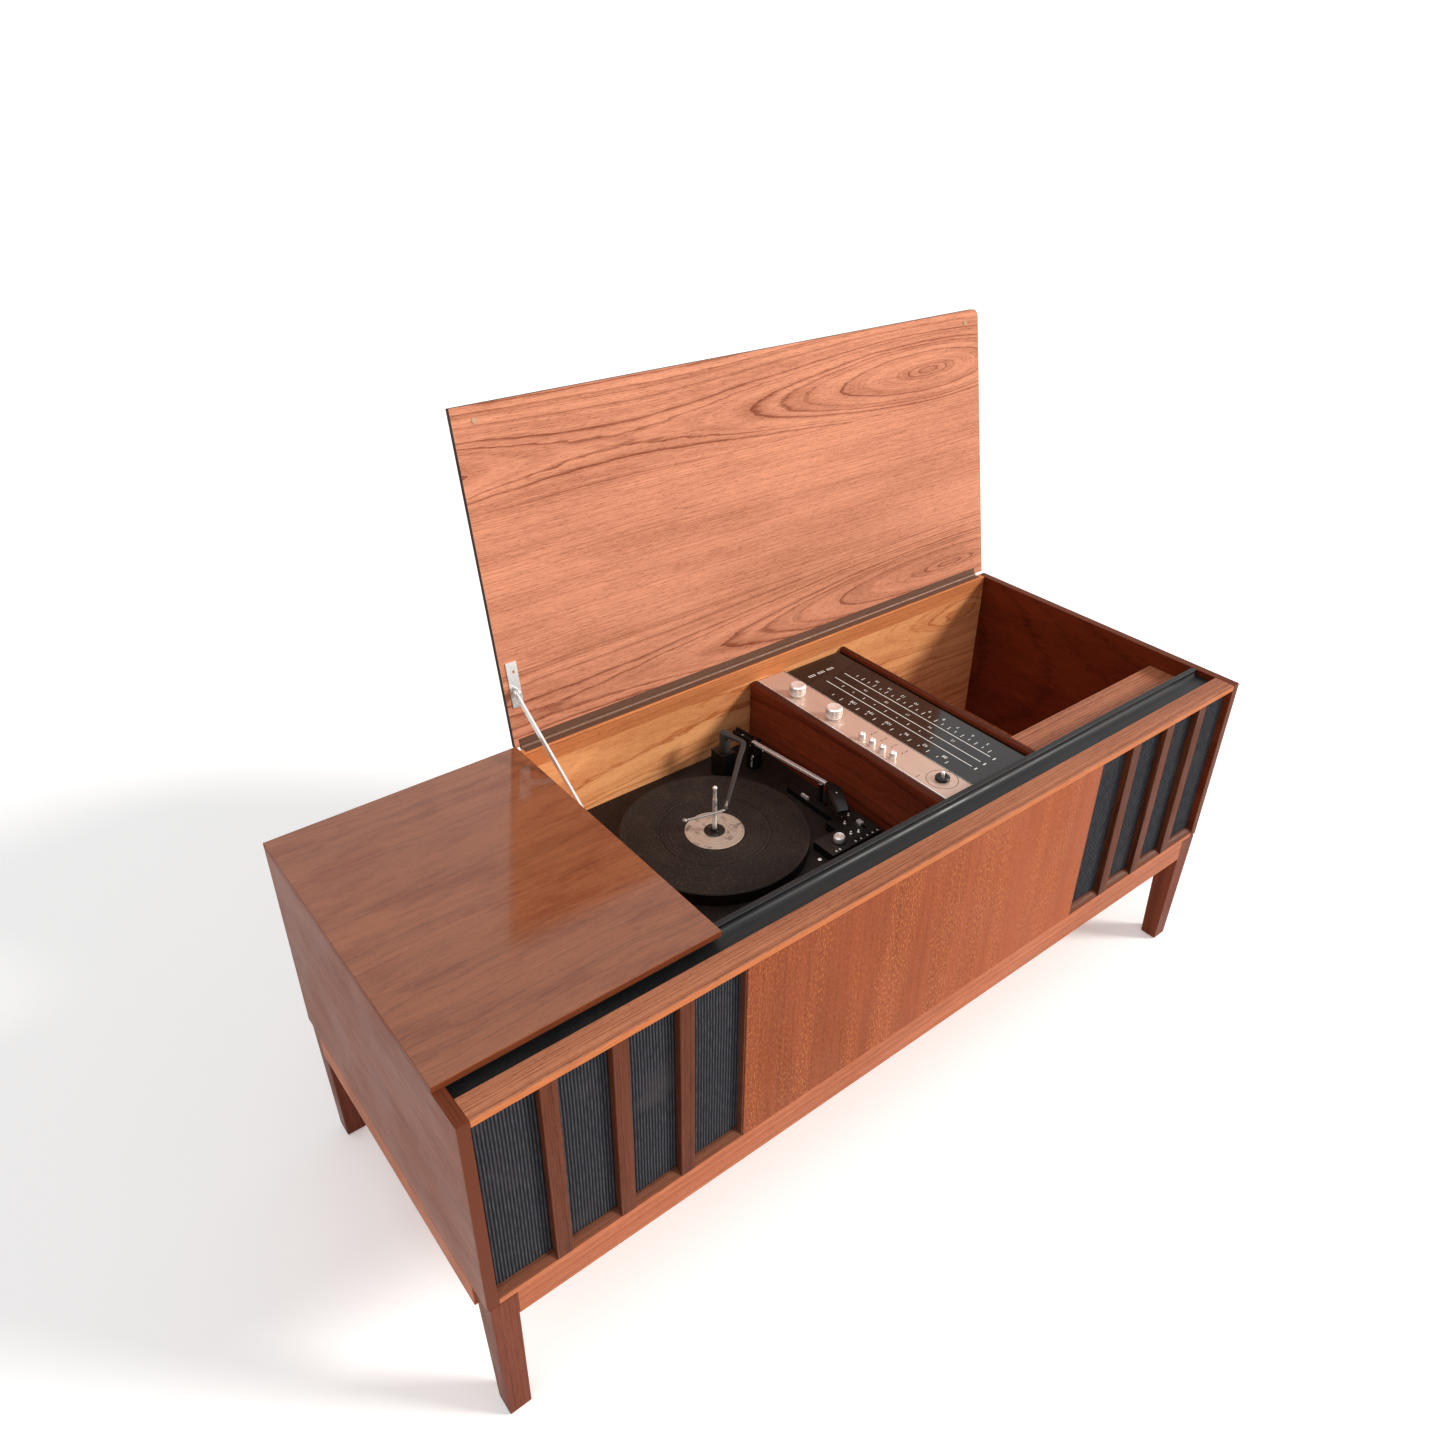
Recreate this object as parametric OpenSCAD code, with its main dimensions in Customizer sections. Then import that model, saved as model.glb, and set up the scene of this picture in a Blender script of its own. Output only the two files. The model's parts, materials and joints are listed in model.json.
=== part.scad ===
// Radio phonograph console: a long low case on four tapered legs. A fixed top covers the left end,
// and a lid hinged at the back covers the turntable bay, the radio and the record bin.
// X runs along the length, the front faces -Y, and Z is up from the floor.
// The origin is on the floor, under the middle of the case. Inside the modules, lengths count
// from the case's left side, its front face and its underside.

/* [Case] */
// Width over the side panels
case_w = 1400; // [1396:1:1410]
// Depth from the front face to the back edges of the sides
case_d = 536; // [536:1:545]
// Height of the side panels
case_h = 310; // [310:1:316]
// Thickness of the side panels
side_t = 15; // [12:1:16]
// Thickness of the bottom board
bottom_t = 8; // [6:1:12]
// Thickness of the fixed top and the lid
top_t = 9; // [8:0.5:12]
// Width of the fixed top
fixed_top_w = 366; // [364:1:368]
// Distance of the tops' front edges behind the case front
top_setback = 52; // [50:1:55]

/* [Base] */
// Height of the case's underside above the floor
leg_h = 233; // [150:1:300]
// Height of the aprons between the legs
apron_h = 41; // [30:1:60]
// Thickness of the aprons
apron_t = 18; // [15:1:22]
// Width of a leg at the top
leg_top_w = 34; // [30:1:40]
// Width of a leg at the foot
leg_foot_w = 29; // [22:1:34]

/* [Lid] */
// Opening angle of the lid, from closed
lid_angle = 100.9; // [95:0.1:105]
// Gap between the closed lid's underside and the case
lid_gap = 1; // [0.8:0.1:1.5]
// Radius of the lid's free front corner
lid_corner_r = 14; // [5:1:25]
// Length of the lid's piano hinge
hinge_len = 1000; // [900:10:1000]
// Length of the stay arm from its rivet to its stud
stay_len = 230; // [228:0.5:232]

/* [Front] */
// Depth of the front rail
rail_d = 34; // [30:1:38]
// Height of the front rail
rail_h = 10; // [8:0.5:12]
// Radius of the finger channel's cove
cove_r = 10; // [8:0.5:10]
// Width of each grille opening
grille_w = 349; // [345:1:352]
// Width of a slat
slat_w = 21; // [18:1:26]
// Pitch of the slats
slat_pitch = 88; // [80:1:92]
// How far the slats stand proud of the cloth
slat_t = 11; // [8:1:14]
// Radius of the loudspeaker openings
speaker_r = 85; // [70:1:95]

/* [Radio] */
// Left face of the radio unit
radio_x = 797; // [797:1:800]
// Left face of the record bin
bin_x = 1012; // [1012:1:1015]
// Diameter of the volume and tone knobs
knob_d = 27; // [22:1:30]
// Height of the volume and tone knobs
knob_h = 19; // [12:1:22]
// Diameter of a push button
button_d = 11.5; // [9:0.5:13]
// Pitch of the push buttons
button_pitch = 22; // [18:1:24]
// Travel of a push button
button_travel = 4; // [2:0.5:4]

/* [Turntable] */
// Height of the motor board's top above the case's underside
board_z = 165; // [160:1:168]
// Platter radius
platter_r = 143; // [138:1:145]
// Length of the tonearm's bar ahead of its pivot
bar_front = 158; // [154:1:160]
// Height of the spindle's tip above the mat
spindle_h = 81; // [60:1:85]

/* [Hidden] */
$fn = 64;
e = 1;                          // how far cutting solids run past a face
run = 0.05;                     // running clearance of a shaft in its bore

// Case
in_l = side_t;                  // inner face of the left side
in_r = case_w - side_t;         // inner face of the right side
back_t = 14;
back_y = case_d - back_t;       // inner face of the back
rail_z = case_h - rail_h;       // underside of the front rail
channel_y = 76.5;               // back of the finger channel and face of the inner front wall
channel_h = 20;
ledge = 8.5;                    // ledge that the closed lid rests above
inner_t = 12;                   // inner boards
back_rail_h = 28;
cover_t = 3;
inner_back_t = 7;
divider_t = 14;
bay_x = fixed_top_w;            // left end of the turntable bay
panel_top = 281;                // top of the radio's cheeks and the record shelf
shelf_y = 149;                  // back of the record shelf

// Base
leg_inset = 3;
leg_top_d = 39;
leg_foot_d = 28;

// Lid and its hinge
axis_y = case_d + 4.5;
axis_z = case_h;
lid_x = fixed_top_w + 2;
lid_overhang = 3;               // past the case's back, over the hinge knuckles
leaf_t = 1.5;
leaf_gap = 0.2;
knuckle_r = 4;
hinge_pin_r = 1.5;
leaf_w = 9;
knuckle_n = 17;
knuckle_pitch = hinge_len / knuckle_n;
hinge_x = (lid_x + in_r - hinge_len) / 2;
bumper_r = 4;
bumper_t = 0.8;

// Stay: a strip that swings on the lid, with a stud that slides in a slotted guide
stay_v = 88;                    // rivet's distance from the hinge axis, along the lid
stay_n = 10;                    // rivet's distance below the hinge axis, square to the lid
stay_open = -32.8;              // strip's slope with the lid open
stay_shut = -12;                // strip's slope with the lid closed
stay_x = 379;
stay_t = 3;
stay_w = 9;
stud_r = 2.5;
slot_play = 0.4;

// Radio
cheek_t = [14, 9];
panel_x = radio_x + cheek_t[0] + 2;
panel_w = 58;
panel_z = panel_top - 3;
glass_x = panel_x + panel_w + 2;
glass_w = bin_x - cheek_t[1] - 2 - glass_x;
glass_z = panel_top - 7;
glass_t = 3;
sub_z = 260;                    // top of the sub-plate that carries the controls
sub_t = 4;
unit_y0 = 80;
unit_y1 = case_d - 16;
knob_x = radio_x + 40;
volume_y = 448;
tone_y = 361;
button_x = radio_x + 31;
button_y0 = 288;
tuning_x = radio_x + 49;
tuning_y = 139;
shaft_r = 3;
button_stem_r = 2.5;
pointer_y = 150;
pointer_rail_x = 984;

// Turntable
deck_t = 3;
deck_z = board_z + deck_t;
deck_lo = [425, 185];
deck_hi = [790, 505];
centre = [577, 335];
platter_z = board_z + 6;
platter_top = board_z + 22;
mat_z = board_z + 25;
rim_t = 9;
hub_r = 18;
post_r = 8;
spindle_r = 3.55;
idler_r = 18;
pulley_r = 3;
drive_angle = 225;
pivot = [754, 455];
arm_z = board_z + 47;
arm_turn = 5.9;                 // the parked tonearm's angle from the case's depth
bar_w = 7;
bar_h = 6;
bar_rear = 48;
head_turn = 32.4;
head_w = 27;
tower = [698, 464];
overarm_z = board_z + 81;
block_z = board_z + 17;
knob_at = [716, 211];
lever_at = [769, 222];
lever_travel = 10;

function turn(r, a) = [r * cos(a), r * sin(a)];
function stay_rivet(t) = turn(stay_v, t) + turn(stay_n, t - 90);
function stay_slope(t) = stay_shut + (stay_open - stay_shut) * t / lid_angle;
function stay_stud(t) = stay_rivet(t) + turn(stay_len, stay_slope(t));
function heading(p, q) = atan2(q[1] - p[1], q[0] - p[0]);
idler_at = centre + turn(platter_r - rim_t - idler_r - run, drive_angle);
pulley_at = idler_at - turn(idler_r + pulley_r + run, drive_angle);

// Places its children, drawn from the case's front left bottom corner.
module in_case() translate([-case_w / 2, -case_d / 2, leg_h]) children();

// A box between two corners.
module block(lo, hi) translate(lo) cube(hi - lo);

// A cylinder from z0 to z1 on the point p.
module post(p, r, z0, z1) translate([p[0], p[1], z0]) cylinder(r = r, h = z1 - z0);

// Draws a profile square to the hinge axis: its X runs forward from the axis and its Y up.
// The profile is extruded by t to the left of x.
module beside_lid(x, t) translate([x, axis_y, axis_z]) rotate([90, 0, -90])
    linear_extrude(height = t) children();

// Swings what is drawn for the closed lid to the open position.
module on_lid() in_case() translate([0, axis_y, axis_z]) rotate([-lid_angle, 0, 0])
    translate([0, -axis_y, -axis_z]) children();

// Mirrors its children to the right half of the case as well.
module both_ends() {
    children();
    translate([case_w, 0, 0]) mirror([1, 0, 0]) children();
}

// Case boards

module side_panel() block([0, 0, 0], [side_t, case_d, case_h]);

module side_panel_left() color("saddlebrown") in_case() side_panel();

module side_panel_right() color("saddlebrown") in_case()
    translate([case_w - side_t, 0, 0]) side_panel();

module bottom_board() color("sienna") in_case() block([in_l, 0, 0], [in_r, case_d, bottom_t]);

module fixed_top() color("saddlebrown") in_case()
    block([0, top_setback, case_h], [fixed_top_w, case_d, case_h + top_t]);

module front_rail() color("peru") in_case() block([in_l, 0, rail_z], [in_r, rail_d, case_h]);

// Groove behind the front rail, where fingers reach under the lid's front edge.
module finger_channel() color("midnightblue") in_case() difference() {
    block([in_l, rail_d, case_h - channel_h], [in_r, channel_y, case_h]);
    block([in_l - e, rail_d - e, rail_z], [in_r + e, channel_y - ledge - cove_r, case_h + e]);
    translate([in_l - e, channel_y - ledge - cove_r, rail_z + cove_r]) rotate([0, 90, 0])
        cylinder(r = cove_r, h = in_r - in_l + 2 * e);
}

// Wall behind the channel: deep in front of the turntable and the radio, a strip above the shelf.
module inner_front_board() color("sienna") in_case() translate([0, channel_y, 0])
    rotate([90, 0, 0]) linear_extrude(height = inner_t) polygon([
        [bay_x, board_z - 75], [bin_x, board_z - 75], [bin_x, panel_top],
        [in_r, panel_top], [in_r, case_h - channel_h], [bay_x, case_h - channel_h]]);

module centre_panel() color("chocolate") in_case()
    block([in_l + grille_w, 0, bottom_t], [in_r - grille_w, 15, rail_z]);

module grille_slats() color("brown") in_case() both_ends() for (i = [0:2])
    translate([in_l + 76 + i * slat_pitch, 0, bottom_t]) cube([slat_w, slat_t, rail_z - bottom_t]);

module grille_cloths() color("slategray") in_case() both_ends()
    block([in_l, slat_t, bottom_t], [in_l + grille_w, slat_t + 2, rail_z]);

// Runs a cylinder or a turned profile back from the baffle, at the middle of a grille.
module at_speaker(y) translate([in_l + grille_w / 2, y, (bottom_t + rail_z) / 2])
    rotate([-90, 0, 0]) children();

module speaker_baffles() color("tan") in_case() both_ends() difference() {
    block([in_l, slat_t + 2, bottom_t], [in_l + grille_w, slat_t + 14, rail_z]);
    at_speaker(slat_t + 2 - e) cylinder(r = speaker_r, h = inner_t + 2 * e);
}

// Basket, cone and magnet as one turned piece, open to the front.
module loudspeakers() color("dimgray") in_case() both_ends() at_speaker(slat_t + 14)
    rotate_extrude() polygon([
        [0, 38], [14, 38], [speaker_r - 6, 4], [speaker_r - 1, 4], [speaker_r - 1, 0],
        [speaker_r + 15, 0], [speaker_r + 15, 3], [speaker_r + 2, 5], [42, 52], [42, 80],
        [0, 80]]);

module back_rail() color("goldenrod") in_case() difference() {
    block([in_l, back_y, case_h - back_rail_h], [in_r, case_d, case_h]);
    block([hinge_x, case_d - leaf_w, case_h - leaf_gap - leaf_t],
        [hinge_x + hinge_len, case_d + e, case_h + e]);
}

// Veneered board behind the open bays, with a window at the radio for air.
module inner_back_panel() color("goldenrod") in_case() difference() {
    block([bay_x - divider_t, back_y, bottom_t],
        [in_r, back_y + inner_back_t, case_h - back_rail_h]);
    block([radio_x + 33, back_y - e, 30], [bin_x - 27, case_d, 200]);
}

// Hardboard cover with rows of air slots and a hole for the cable gland.
gland_at = [radio_x + 108, 60];
module rear_cover() color("burlywood") in_case() difference() {
    block([in_l, back_y + inner_back_t, bottom_t],
        [in_r, back_y + inner_back_t + cover_t, case_h - back_rail_h]);
    for (x = [130, radio_x + 46, in_r - 240], row = [0:4])
        translate([x, back_y, 105 + row * 18]) cube([120, case_d, 5]);
    translate([gland_at[0], back_y, gland_at[1]]) rotate([-90, 0, 0]) cylinder(r = 7, h = 30);
}

// Rubber bush for the mains cable.
module cable_gland() color("black") in_case()
    translate([gland_at[0], back_y + inner_back_t, gland_at[1]]) rotate([-90, 0, 0])
        difference() {
            union() {
                cylinder(r = 7, h = cover_t);
                translate([0, 0, -2]) cylinder(r = 10, h = 2);
                translate([0, 0, cover_t]) cylinder(r = 10, h = 2);
            }
            translate([0, 0, -2 - e]) cylinder(r = 3.5, h = cover_t + 4 + 2 * e);
        }

module bay_divider() color("sienna") in_case()
    block([bay_x - divider_t, channel_y, bottom_t], [bay_x, back_y, case_h]);

module radio_cheeks() color("maroon") in_case() {
    block([radio_x, channel_y, bottom_t], [radio_x + cheek_t[0], back_y, panel_top]);
    block([bin_x - cheek_t[1], channel_y, bottom_t], [bin_x, back_y, panel_top]);
}

// Shelf at the front of the bin and the wall under it, which close off the loudspeaker.
module record_shelf() color("peru") in_case() {
    block([bin_x, channel_y - inner_t, panel_top - inner_t], [in_r, shelf_y, panel_top]);
    block([bin_x, shelf_y - inner_t, bottom_t], [in_r, shelf_y, panel_top - inner_t]);
}

module motor_board() color("black") in_case() difference() {
    block([bay_x, channel_y, board_z - inner_t], [radio_x, back_y, board_z]);
    block([deck_lo[0] + 15, deck_lo[1] + 15, 0], [deck_hi[0] - 15, deck_hi[1] - 15, case_h]);
}

// Base

module apron_front() color("brown") in_case()
    block([leg_inset + leg_top_w, 0, -apron_h], [case_w - leg_inset - leg_top_w, apron_t, 0]);

module apron_sides() color("brown") in_case() {
    both_ends() block([0, leg_top_d, -apron_h], [apron_t, case_d - leg_top_d, 0]);
    block([leg_inset + leg_top_w, case_d - apron_t, -apron_h],
        [case_w - leg_inset - leg_top_w, case_d, 0]);
}

// Leg tapered on both faces: the overlap of its front and side outlines.
module leg() {
    top_x = [leg_inset, leg_inset + leg_top_w];
    foot_x = [leg_inset + 4, leg_inset + 4 + leg_foot_w];
    intersection() {
        translate([0, leg_top_d + e, 0]) rotate([90, 0, 0])
            linear_extrude(height = leg_top_d + 2 * e) polygon([
                [top_x[0], 0], [top_x[1], 0], [foot_x[1], -leg_h], [foot_x[0], -leg_h]]);
        rotate([90, 0, 90]) linear_extrude(height = 2 * leg_top_w) polygon([
            [0, 0], [leg_top_d, 0], [2 + leg_foot_d, -leg_h], [2, -leg_h]]);
    }
}

module to_right() translate([case_w, 0, 0]) mirror([1, 0, 0]) children();
module to_rear() translate([0, case_d, 0]) mirror([0, 1, 0]) children();

module leg_front_left() color("brown") in_case() leg();
module leg_front_right() color("brown") in_case() to_right() leg();
module leg_rear_left() color("brown") in_case() to_rear() leg();
module leg_rear_right() color("brown") in_case() to_right() to_rear() leg();

// Radio

module control_panel() color("silver") in_case() difference() {
    block([panel_x, channel_y + 1, panel_z - 1.5], [panel_x + panel_w, back_y - 1, panel_z]);
    for (p = [[knob_x, volume_y], [knob_x, tone_y], [tuning_x, tuning_y]])
        post(p, shaft_r + 0.5, panel_z - 5, panel_z + e);
    for (i = [0:3])
        post([button_x, button_y0 - i * button_pitch], button_d / 2 + 0.3, panel_z - 5, panel_z + e);
}

module dial_glass() color("black", 0.6) in_case()
    block([glass_x, unit_y0, glass_z - glass_t], [glass_x + glass_w, unit_y1, glass_z]);

// Sub-plate with its ribs, the chassis box under it, and the valves and transformer.
module radio_chassis() color("gray") in_case() {
    rib = 3;
    glass_seat = glass_z - glass_t;
    box_lo = [radio_x + 34, 110, 196];
    box_hi = [bin_x - 22, 490, sub_z - sub_t];
    right = glass_x + glass_w;
    difference() {
        block([panel_x, unit_y0, sub_z - sub_t], [right, unit_y1, sub_z]);
        for (p = [[knob_x, volume_y], [knob_x, tone_y], [tuning_x, tuning_y]])
            post(p, shaft_r + run, 0, case_h);
        for (i = [0:3])
            post([button_x, button_y0 - i * button_pitch], button_stem_r + run, 0, case_h);
    }
    block([panel_x, unit_y0, sub_z], [panel_x + rib, unit_y1, panel_z - 1.5]);
    block([panel_x + panel_w - rib, unit_y0, sub_z],
        [panel_x + panel_w, unit_y1, panel_z - 1.5]);
    block([right - rib, unit_y0, sub_z], [right, unit_y1, glass_seat]);
    for (y = [unit_y0, unit_y1 - rib]) block([glass_x, y, sub_z], [right - rib, y + rib, glass_seat]);
    block([pointer_rail_x, unit_y0 + rib, sub_z], [pointer_rail_x + 4, unit_y1 - rib, sub_z + 2]);
    difference() {
        block(box_lo, box_hi);
        block(box_lo + [2, 2, 2], box_hi + [-2, -2, e]);
    }
    for (i = [0:4]) post([radio_x + 150, 150 + i * 52], 11, 136, 196);
    block([radio_x + 50, 390, 130], [radio_x + 120, 470, 196]);
}

// Turned knob with its shaft, standing just above the panel.
module knob(p) {
    post(p, knob_d / 2, panel_z + 0.5, panel_z + 0.5 + knob_h);
    post(p, shaft_r, sub_z - 12, panel_z + 1);
}

module volume_knob() color("lightgray") in_case() knob([knob_x, volume_y]);
module tone_knob() color("lightgray") in_case() knob([knob_x, tone_y]);

// Push button on a stem that the sub-plate guides.
module button(i) {
    at = [button_x, button_y0 - i * button_pitch];
    post(at, button_d / 2, sub_z + button_travel + 3, panel_z + 12);
    post(at, button_stem_r, sub_z - 14, sub_z + button_travel + 4);
}

module button_1() color("whitesmoke") in_case() button(0);
module button_2() color("whitesmoke") in_case() button(1);
module button_3() color("whitesmoke") in_case() button(2);
module button_4() color("whitesmoke") in_case() button(3);

// Tuning shaft with its boss above the panel and the dial cord's drum below it.
module tuning_spindle() color("black") in_case() {
    at = [tuning_x, tuning_y];
    post(at, shaft_r, sub_z - 18, panel_z + 14);
    post(at, 11, panel_z + 0.3, panel_z + 6);
    post(at, 14, sub_z + 2, sub_z + 7);
}

// Pointer on a carriage that straddles its rail.
module dial_pointer() color("red") in_case() {
    carriage = 14;
    block([glass_x + 6, pointer_y - 0.8, sub_z + 5], [pointer_rail_x + 8, pointer_y + 0.8, sub_z + 8]);
    difference() {
        translate([pointer_rail_x - 4, pointer_y - carriage / 2, sub_z + 0.5])
            cube([12, carriage, 4.5]);
        translate([pointer_rail_x - 0.1, pointer_y - carriage, sub_z])
            cube([4.2, 2 * carriage, 2.2]);
    }
}

// Turntable

module deck_plate() color("darkslategray") in_case() difference() {
    r = 18;
    union() {
        translate([0, 0, board_z]) linear_extrude(height = deck_t) union() {
            translate(deck_lo + [r, 0]) square(deck_hi - deck_lo - [2 * r, 0]);
            translate(deck_lo + [0, r]) square(deck_hi - deck_lo - [0, 2 * r]);
            for (x = [deck_lo[0] + r, deck_hi[0] - r], y = [deck_lo[1] + r, deck_hi[1] - r])
                translate([x, y]) circle(r = r);
        }
        post(idler_at, 2, board_z + 1, platter_z + 10);
    }
    post(centre, post_r, board_z - e, deck_z + e);
    post(pulley_at, 6, board_z - e, deck_z + e);
}

// Fixed changer spindle on the post that the platter turns on, with a rounded tip.
module spindle() color("silver") in_case() {
    tip = mat_z + spindle_h;
    ball_r = spindle_r - 0.05;
    neck_r = 3.2;
    post(centre, post_r, board_z - 15, platter_top - 1);
    post(centre, neck_r, platter_top - 2, mat_z + 2);
    post(centre, spindle_r, mat_z + 2, tip - 22);
    post(centre, 2.2, tip - 23, tip - ball_r);
    translate([centre[0], centre[1], tip - ball_r]) sphere(r = ball_r);
}

module platter() color("dimgray") in_case() translate([centre[0], centre[1], 0])
    rotate_extrude($fn = 128) polygon([
        [post_r + run, platter_z], [hub_r, platter_z], [hub_r, platter_top - 3],
        [platter_r - rim_t, platter_top - 3], [platter_r - rim_t, platter_z],
        [platter_r, platter_z], [platter_r, platter_top], [post_r + run, platter_top]]);

// Rubber mat with a raised centre, a label ring, and grooves for the smaller record sizes.
module platter_mat() color("black") in_case() translate([centre[0], centre[1], 0])
    rotate_extrude($fn = 128) polygon([
        [4, platter_top], [platter_r, platter_top], [platter_r, mat_z - 1], [platter_r - 1, mat_z],
        [85, mat_z], [84.4, mat_z - 1], [82.4, mat_z - 1], [81.8, mat_z], [45, mat_z],
        [44.5, mat_z + 0.4], [16.6, mat_z + 0.4], [16, mat_z + 1.5], [4, mat_z + 1.5]]);

module idler_wheel() color("black") in_case() difference() {
    union() {
        post(idler_at, idler_r, platter_z + 3, platter_z + 8);
        post(idler_at, 6, platter_z + 1, platter_z + 9);
    }
    post(idler_at, 2 + run, platter_z, platter_z + 10);
}

module motor_pulley() color("gold") in_case() {
    post(pulley_at, pulley_r, platter_z + 2, platter_z + 10);
    post(pulley_at, 2.5, board_z - 35, platter_z + 2);
}

// Motor hung from the deck on three pillars.
module drive_motor() color("gray") in_case() {
    difference() {
        post(pulley_at, 30, board_z - 60, board_z - 15);
        post(pulley_at, 2.5 + run, board_z - 38, board_z);
    }
    for (a = [90, 210, 330]) post(pulley_at + turn(24, a), 3, board_z - 16, board_z);
}

// Places its children with the tonearm's pivot at the origin and the parked bar along -Y.
module at_arm() translate([pivot[0], pivot[1], 0]) rotate([0, 0, arm_turn]) children();

module tonearm_pillar() color("black") in_case() difference() {
    post(pivot, 13, deck_z, arm_z - 14);
    post(pivot, 4 + run, deck_z + 7, case_h);
}

// Yoke on a vertical shaft: the tonearm swings with it and tips in its ears.
module tonearm_gimbal() color("dimgray") in_case() at_arm() {
    post([0, 0], 4, deck_z + 8, arm_z - 13);
    block([-11, -8, arm_z - 13.9], [11, 8, arm_z - 11]);
    for (x = [-11, 8]) difference() {
        block([x, -4, arm_z - 11], [x + 3, 4, arm_z + 5]);
        translate([x - e, 0, arm_z]) rotate([0, 90, 0]) cylinder(r = 1.5 + run, h = 3 + 2 * e);
    }
}

// Bar with its pivot pin and the counterweight beside its rear end.
module tonearm() color("silver") in_case() at_arm() {
    block([-bar_w / 2, -bar_front, arm_z - bar_h / 2], [bar_w / 2, bar_rear, arm_z + bar_h / 2]);
    block([bar_w / 2, 10, arm_z - 8], [bar_w / 2 + 4.5, bar_rear, arm_z + 6]);
    translate([-11, 0, arm_z]) rotate([0, 90, 0]) cylinder(r = 1.5, h = 22);
}

// Head shell turned in from the bar, with the cartridge and stylus under it.
module head_shell() color("lightgray") in_case() at_arm() {
    neck = [0, -bar_front - 10];
    length = 62;
    dir = turn(1, 270 - head_turn);
    side = turn(head_w / 2, -head_turn);
    tip = neck + length * dir;
    sole = arm_z - 5;
    translate([0, 0, sole]) linear_extrude(height = 10) polygon([
        [-4, -bar_front], [4, -bar_front], neck + side, tip + 0.8 * side,
        tip - 0.8 * side, neck - side]);
    translate([tip[0], tip[1], arm_z - 15]) rotate([0, 0, -head_turn])
        translate([-8, 6, 0]) cube([16, 26, 11]);
    post(tip - 8 * dir, 0.8, mat_z + 2.2, arm_z - 14);
}

module overarm_tower() color("black") in_case() {
    block([tower[0] - 14, tower[1] - 13, deck_z], [tower[0] + 12, tower[1] + 17, board_z + 50]);
    post(tower, 4, board_z + 49, board_z + 71);
}

// Balance arm for the stack: a hub, a bowed arm, and a bent rod that reaches past the spindle.
module overarm() color("gray") in_case() {
    elbow = [702, 422];
    bend = [572, 304];
    tip = [510, 319];
    length = norm(bend - elbow);
    difference() {
        post(tower, 9, board_z + 51, overarm_z + 6);
        post(tower, 4 + run, board_z + 50, board_z + 72);
    }
    translate([tower[0], tower[1], overarm_z]) rotate([0, 0, heading(tower, elbow)])
        translate([0, -6, 0]) cube([norm(elbow - tower), 12, 6]);
    post(elbow, 7, overarm_z, overarm_z + 6);
    translate([elbow[0], elbow[1], overarm_z + 1]) rotate([0, 0, heading(elbow, bend)])
        linear_extrude(height = 5)
            polygon([[0, -5.5], [length, -3], [length, 3], [0, 5.5]]);
    translate([bend[0], bend[1], overarm_z + 3.5]) rotate([0, 0, heading(bend, tip)])
        rotate([0, 90, 0]) cylinder(r = 2.2, h = norm(tip - bend));
    post(bend, 4, overarm_z + 0.5, overarm_z + 6.5);
    post(tip, 3.5, overarm_z, overarm_z + 6);
}

// Raised block with the controls, and the parked tonearm's rail and rest.
module control_block() color("black") in_case() {
    difference() {
        union() {
            block([684, 190, deck_z], [786, 232, block_z]);
            block([730, 190, deck_z], [786, 255, block_z]);
        }
        post(knob_at, shaft_r + run, deck_z + 4, case_h);
        translate([lever_at[0] - 2, lever_at[1] - 3.5 - lever_travel, deck_z - e])
            cube([4, 7 + 2 * lever_travel, case_h]);
    }
    block([748, 255, deck_z], [762, 365, deck_z + 10]);
    block([762, 300, deck_z], [776, 320, deck_z + 4]);
    post([769, 310], 4, deck_z + 3, arm_z - bar_h / 2 - 0.3);
}

module speed_knob() color("silver") in_case() {
    post(knob_at, 9, block_z + 0.3, block_z + 9);
    post(knob_at, shaft_r, deck_z + 5, block_z + 1);
}

// Start and reject lever, sliding in a slot of the control block.
module start_lever() color("silver") in_case() {
    translate([lever_at[0] - 1.8, lever_at[1] - 3, deck_z + 2])
        cube([3.6, 6, block_z - deck_z]);
    translate([lever_at[0] - 4, lever_at[1] - 5, block_z + 0.3]) cube([8, 10, 4.5]);
}

// Lid

module lid() color("coral") on_lid() difference() {
    z0 = case_h + lid_gap;
    back = case_d + lid_overhang;
    union() {
        block([lid_x, top_setback, z0], [case_w - lid_corner_r, back, z0 + top_t]);
        block([lid_x, top_setback + lid_corner_r, z0], [case_w, back, z0 + top_t]);
        post([case_w - lid_corner_r, top_setback + lid_corner_r], lid_corner_r, z0, z0 + top_t);
    }
    block([hinge_x, case_d - leaf_w, case_h],
        [hinge_x + hinge_len, back + e, case_h + leaf_gap + leaf_t]);
    block([hinge_x - 0.5, axis_y - knuckle_r - 0.6, case_h],
        [hinge_x + hinge_len + 0.5, back + e, axis_z + knuckle_r + 0.4]);
}

// Two pads under the lid that meet the ledge when it closes.
module lid_bumpers() color("tan") on_lid() for (x = [401, 1365])
    post([x, channel_y - ledge / 2], bumper_r, case_h + lid_gap - bumper_t, case_h + lid_gap);

// One leaf's own knuckles: every second one, counted from first.
module knuckles(first, bore) for (i = [first:2:knuckle_n - 1])
    translate([hinge_x + i * knuckle_pitch + 0.1, axis_y, axis_z]) rotate([0, 90, 0])
        difference() {
            cylinder(r = knuckle_r, h = knuckle_pitch - 0.2);
            if (bore > 0) translate([0, 0, -e]) cylinder(r = bore, h = knuckle_pitch + 2 * e);
        }

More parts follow.
